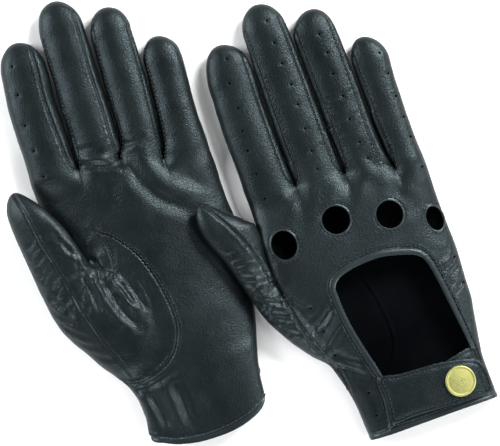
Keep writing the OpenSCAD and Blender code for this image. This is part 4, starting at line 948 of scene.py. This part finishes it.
def sew_glove(g, sheets, info):
    palm_up = g.id == "l"
    T_ = {}
    def th(name): return T_.setdefault(name, Thread())
    def owner(m):
        x = np.array([m[0]]); y = np.array([m[1]])
        if y[0] > np.interp(x, info["cx"], info["cy"])[0]: return th(FING[finger_of(g, x, y)[0]])
        return th("hand")
    class Moved:
        def __init__(s, surf): s.s = surf
        def at(s, x, y, up=True):
            r = s.s.at(x, y, up); return None if r is None else (r[0] + g.o, r[1])
    S = {(s["kind"], s["sd"]): Moved(s["surf"]) for s in sheets}
    up_of = {"t": True, "b": False}
    for sd in ("t", "b"):
        back = (sd == "t") != palm_up; surf = S[("hand", sd)]; up = up_of[sd]
        sew(surf, offset_line(info["hem"], 1.0), owner, up)
        if back:
            bl = info["bind"]; sgn = -1 if area2(bl) > 0 else 1
            sew(surf, offset_line(bl, sgn * 1.0, True), owner, up, closed=True, pitch=2.2)
            for (kx, ky, w, h) in g.knuckle:
                sew(surf, ellipse(kx, ky, w / 2 + 1.9, h / 2 + 1.9, 60), owner, up, closed=True, pitch=2.1, length=1.35)
            if g.side:
                q = spline(g.side, 0.6); sew(surf, offset_line(q, 1.0), owner, up); sew(surf, offset_line(q, -1.0), owner, up)
            if hasattr(g, "seam_back"):
                for j, sm in enumerate(g.seam_back):
                    q = spline(sm, 0.7); sew(surf, offset_line(q, -1.15 if j % 2 == 0 else 1.15), owner, up, pitch=2.3)
            else:
                for i in range(4):
                    f = g.f[i]
                    if i < 3:
                        ys = np.arange(g.crotch[i][1] + 3, f.yd + 1, 0.7); sew(surf, np.stack([f.xr(ys) - 1.9, ys], 1), owner, up, pitch=2.2)
                    if i > 0:
                        ys = np.arange(g.crotch[i - 1][1] + 3, f.yd + 1, 0.7); sew(surf, np.stack([f.xl(ys) + 1.9, ys], 1), owner, up, pitch=2.2)
        else:
            q = info["setting"]; sew(surf, offset_line(q, 0.95), owner, up, pitch=2.2); 
            sew(surf, offset_line(q[:60], -0.95), owner, up, pitch=2.2)
            q = spline(g.quirk[:-1], 0.6); sew(surf, offset_line(q, 1.0 if palm_up else 1.0), owner, up, pitch=2.0, length=1.3)
            for j, sm in enumerate(g.seam_fingers):
                q = spline(sm, 0.7); sew(surf, offset_line(q, -0.95 if j % 2 == 0 else 0.95), owner, up, pitch=2.1)
    for name, t in T_.items():
        ob = t.build(g.id + "_" + name + "_stitches")
        if ob is None: continue
        fasten(ob, g, name if name in FING else "hand")

# ------------------------------------------------------------------ strap, underlap, snap
STRAP = [(-20.6, 29.2), (-10, 27.6), (0, 26.8), (10, 25.8), (18, 24.2), (24, 22.6), (27.5, 21.0), (29.6, 18.6), (30.6, 15), (30.9, 11), (30.8, 7), (30.2, 4.0), (27.5, 3.0), (20, 3.1), (10, 3.7), (0, 4.5), (-10, 5.2), (-22.4, 5.9), (-21.8, 12), (-21, 20)]
UNDER = [(12, 24), (19, 26.2), (26, 27.2), (29.4, 26.4), (29.8, 20), (29.6, 12), (29.6, 5.5), (20, 5.5), (12, 6)]

def layer(g, name, outline, off, t, node, body, stitch, amp):
    """A strap or tab: a leather layer lying over the back of the wrist."""
    up = g.id == "r"; sgn = 1 if up else -1
    out = even(spline(outline, 0.6, True), 0.7, True)
    if area2(out) < 0: out = out[::-1]
    inner = offset_line(out, 1.9, True); inner = np.vstack([inner, inner[:1]])
    v2, f = triangulate(out, [], [inner])
    nd = Near(dense(out, True)); s = nd.dist(v2); e = nd.dist(v2) < 1e-3
    x, y = v2[:, 0], v2[:, 1]; xs = np.minimum(x, 26.5 + (3 if not up else 0)); r = hand_h(g, np.maximum(xs, -33), y)
    H = (r[1] if up else r[2])
    H = H + 0.25 * noise(np.column_stack([v2, np.zeros(len(v2))]), 13, 3) * amp
    prof = np.sqrt(np.maximum(0, 1 - (1 - np.minimum(1, s / 0.85)) ** 2))
    mark = Lines(); mark.add(inner, -0.28, 0.45, 0.0, 1.2, 0.7, raw=True)
    puff = 0.35 * smooth(0.5, 4, s)
    dd = mark.field(np.column_stack([v2, v2[:, 0] * 0])) + puff + 0.12 * noise(np.column_stack([v2, v2[:, 0] * 0]), 5, 8) * amp
    mid = H + sgn * (off + t / 2)
    a = mid + sgn * (t / 2 * prof + dd * smooth(0, 0.8, s)); b = mid - sgn * t / 2 * prof
    va = np.column_stack([v2, a]); vb = np.column_stack([v2, b]); fa = f if up else f[:, ::-1]; fb = fa[:, ::-1]
    m = len(v2); keep = ~e; remap = np.arange(m) + m; remap[e] = np.nonzero(e)[0]
    V = np.vstack([va, vb]); V[:m][e, 2] = mid[e]; fb = remap[fb]; F_ = np.vstack([fa, fb])
    used = np.unique(F_); back = np.full(len(V), -1); back[used] = np.arange(len(used)); V = V[used]; F_ = back[F_]
    V[:, 2] = np.maximum(V[:, 2], 0.03)
    n = vertex_normals(V, F_)
    ob = make_object(g.id + "_" + name, V + g.o, F_, [M_LEATHER, M_INSIDE], [0] * len(fa) + [1] * len(fb), n[F_].reshape(-1, 3))
    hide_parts(g.id + "_" + node); fasten(ob, g, body)
    surf = Surface(V + g.o, F_[:len(fa)])
    if stitch:
        th = Thread(); sew(surf, offset_line(out, 1.9, True) + g.o[:2], lambda m_: th, up, closed=True, pitch=2.2)
        o2 = th.build(g.id + "_" + name + "_stitches"); fasten(o2, g, body)
    return ob, surf

def lathe(name, prof, centre, axis, mats, seg=72, relief=None):
    axis = axis / np.linalg.norm(axis); h = np.array([1.0, 0, 0]); h = h - axis * (h @ axis); h /= np.linalg.norm(h); k = np.cross(axis, h)
    V, Fc, M = [], [], []
    for (r, z) in prof:
        for j in range(seg):
            a = 2 * math.pi * j / seg; zz = z + (relief(r, a) if relief else 0)
            V.append(centre + h * r * math.cos(a) + k * r * math.sin(a) + axis * zz)
    for i in range(len(prof) - 1):
        for j in range(seg):
            Fc.append((i * seg + j, i * seg + (j + 1) % seg, (i + 1) * seg + (j + 1) % seg, (i + 1) * seg + j)); M.append(0)
    Fc.append(tuple(range(seg))[::-1]); M.append(0); Fc.append(tuple((len(prof) - 1) * seg + j for j in range(seg))); M.append(0)
    return make_object(name, np.array(V), Fc, mats, M)

def snap(g, surf):
    up = g.id == "r"; x, y = (16.7, 13.5) if up else (19.0, 14.5)
    p = surf.at(x + g.o[0], y + g.o[1], up)
    pts = [surf.at(x + g.o[0] + dx, y + g.o[1] + dy, up)[0] for dx, dy in ((6, 0), (-3, 5.2), (-3, -5.2))]
    n = np.cross(pts[1] - pts[0], pts[2] - pts[0]); n /= np.linalg.norm(n); n = n if (n[2] > 0) == up else -n
    c = np.mean(pts, 0) + n * 0.05
    def relief(r, a):
        if r > 4.6: return 0.0
        u, w = r * math.cos(a), r * math.sin(a)
        k = 0.07 * math.exp(-((abs(u) + abs(w) - 2.6) / 0.3) ** 2) + 0.06 * math.exp(-((r - 1.0) / 0.35) ** 2)
        return k
    prof = [(6.9, -0.5), (7.35, -0.1), (7.7, 0.25), (7.8, 0.6), (7.74, 0.92), (7.5, 1.18), (7.15, 1.3), (6.8, 1.27), (6.5, 1.16), (6.25, 1.12)] + [(6.25 - 0.28 * i, 1.14 + 0.34 * (1 - ((6.25 - 0.28 * i) / 6.25) ** 2)) for i in range(1, 22)] + [(0.12, 1.48)]
    ob = lathe(g.id + "_snap_cap_made", prof, c, n, [M_BRASS], 96, relief)
    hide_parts(g.id + "_snap_cap"); fasten(ob, g, "strap_flap")

def stud(g, surf):
    """The snap's lower half, standing on the underlap."""
    up = g.id == "r"; x, y = (16.7, 13.5) if up else (19.0, 14.5)
    pts = [surf.at(x + g.o[0] + dx, y + g.o[1] + dy, up)[0] for dx, dy in ((3.2, 0), (-1.6, 2.8), (-1.6, -2.8))]
    n = np.cross(pts[1] - pts[0], pts[2] - pts[0]); n /= np.linalg.norm(n); n = n if (n[2] > 0) == up else -n
    prof = [(3.4, -0.25), (3.55, 0.0), (3.5, 0.18), (3.2, 0.3), (2.2, 0.36), (1.75, 0.5), (1.65, 0.85), (1.85, 1.2), (1.7, 1.5), (1.2, 1.7), (0.5, 1.78), (0.12, 1.79)]
    ob = lathe(g.id + "_snap_stud_made", prof, np.mean(pts, 0), n, [M_BRASS], 64)
    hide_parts(g.id + "_snap_stud"); fasten(ob, g, "hand")

for g in (R, L):
    sheets, made, info = build_glove(g)
    sew_glove(g, sheets, info)
    d = (0, 0) if g.id == "r" else (3, 1)
    if g.id == "l":
        STRAP = [(x if x < 0 else x * 0.87, y) for x, y in STRAP]; UNDER = [(x * 0.87, y) for x, y in UNDER]
    stud(g, layer(g, "underlap_made", sh(UNDER, d), -0.9, 0.9, "underlap_tab", "hand", False, 0.5)[1])
    st, surf = layer(g, "strap_made", sh(STRAP, d), 0.8, 1.6, "strap", "strap_flap", True, 1.0)
    snap(g, surf)
    for n in ("snap_socket",):
        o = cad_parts[g.id + "_" + n]; o.data.materials.clear(); o.data.materials.append(M_BRASS)

# ------------------------------------------------------------------ floor, lights, camera
def floor():
    m, nt, b = new_mat("studio_floor")
    b.inputs["Base Color"].default_value = (0.92, 0.92, 0.92, 1); b.inputs["Roughness"].default_value = 0.9; b.inputs["Specular IOR Level"].default_value = 0.1
    me = bpy.data.meshes.new("studio_floor"); q = 6.0
    me.from_pydata([(-q, -q, -0.0006), (q, -q, -0.0006), (q, q, -0.0006), (-q, q, -0.0006)], [], [(0, 1, 2, 3)]); me.materials.append(m)
    o = bpy.data.objects.new("studio_floor", me); bpy.context.scene.collection.objects.link(o); return o

def area(name, loc, target, size, power, col=(1, 1, 1), sy=None):
    l = bpy.data.lights.new(name, "AREA"); l.shape = "RECTANGLE"; l.size = size; l.size_y = sy or size; l.energy = power; l.color = col
    o = bpy.data.objects.new(name, l); bpy.context.scene.collection.objects.link(o); o.location = loc
    o.rotation_euler = (Vector(target) - Vector(loc)).to_track_quat("-Z", "Y").to_euler(); return o

w = bpy.data.worlds.new("studio"); bpy.context.scene.world = w; w.use_nodes = True
bgn = w.node_tree.nodes["Background"]; bgn.inputs[1].default_value = 1.35
wtc = w.node_tree.nodes.new("ShaderNodeTexCoord"); wsx = w.node_tree.nodes.new("ShaderNodeSeparateXYZ"); wcr = w.node_tree.nodes.new("ShaderNodeValToRGB")
w.node_tree.links.new(wtc.outputs["Generated"], wsx.inputs[0]); w.node_tree.links.new(wsx.outputs[2], wcr.inputs[0]); w.node_tree.links.new(wcr.outputs[0], bgn.inputs[0])
for e_, (at_, v_) in zip((wcr.color_ramp.elements[0], wcr.color_ramp.elements[1]), ((0.0, 0.7), (1.0, 0.04))):
    e_.position = at_; e_.color = (v_ * 0.97, v_ * 0.99, v_, 1)
for at_, v_ in ((0.45, 0.66), (0.72, 0.14)):
    e_ = wcr.color_ramp.elements.new(at_); e_.color = (v_ * 0.97, v_ * 0.99, v_, 1)
C = Vector((0.009, -0.00725, 0.007)); tl = math.radians(21)
def cam_frame(x, y, z):   # picture right, picture up, height
    return C + Vector((x * math.cos(tl) - y * math.sin(tl) * -1 * -1, 0, 0)) * 0 + Vector((x * math.cos(-tl) - y * math.sin(-tl), x * math.sin(-tl) + y * math.cos(-tl), z))
lights = [area("key", cam_frame(0.75, 0.9, 0.95), C, 0.5, 38, (1, 0.998, 0.985)),
          area("fill_left", cam_frame(-1.3, 0.3, 0.8), C, 0.7, 23, (0.96, 0.98, 1.0)),
          area("low_right", cam_frame(1.35, -0.5, 0.6), C, 0.6, 18, (1, 1, 1)),
          area("front", cam_frame(-0.1, -1.45, 0.7), C, 0.7, 17, (0.98, 0.99, 1.0)),
          area("high_right", cam_frame(0.62, -0.12, 1.15), C, 0.3, 1.9, (1, 1, 1))]
floor()

cam = bpy.data.cameras.new("camera"); co = bpy.data.objects.new("camera", cam); bpy.context.scene.collection.objects.link(co)
cam.sensor_fit = "HORIZONTAL"; cam.sensor_width = 36; cam.lens = 230.4
co.location = (C.x, C.y, 1.6 + 0.007); co.rotation_euler = (0, 0, -tl)
cam.clip_end = 20
bpy.context.scene.camera = co
bpy.context.scene.view_settings.view_transform = "Standard"
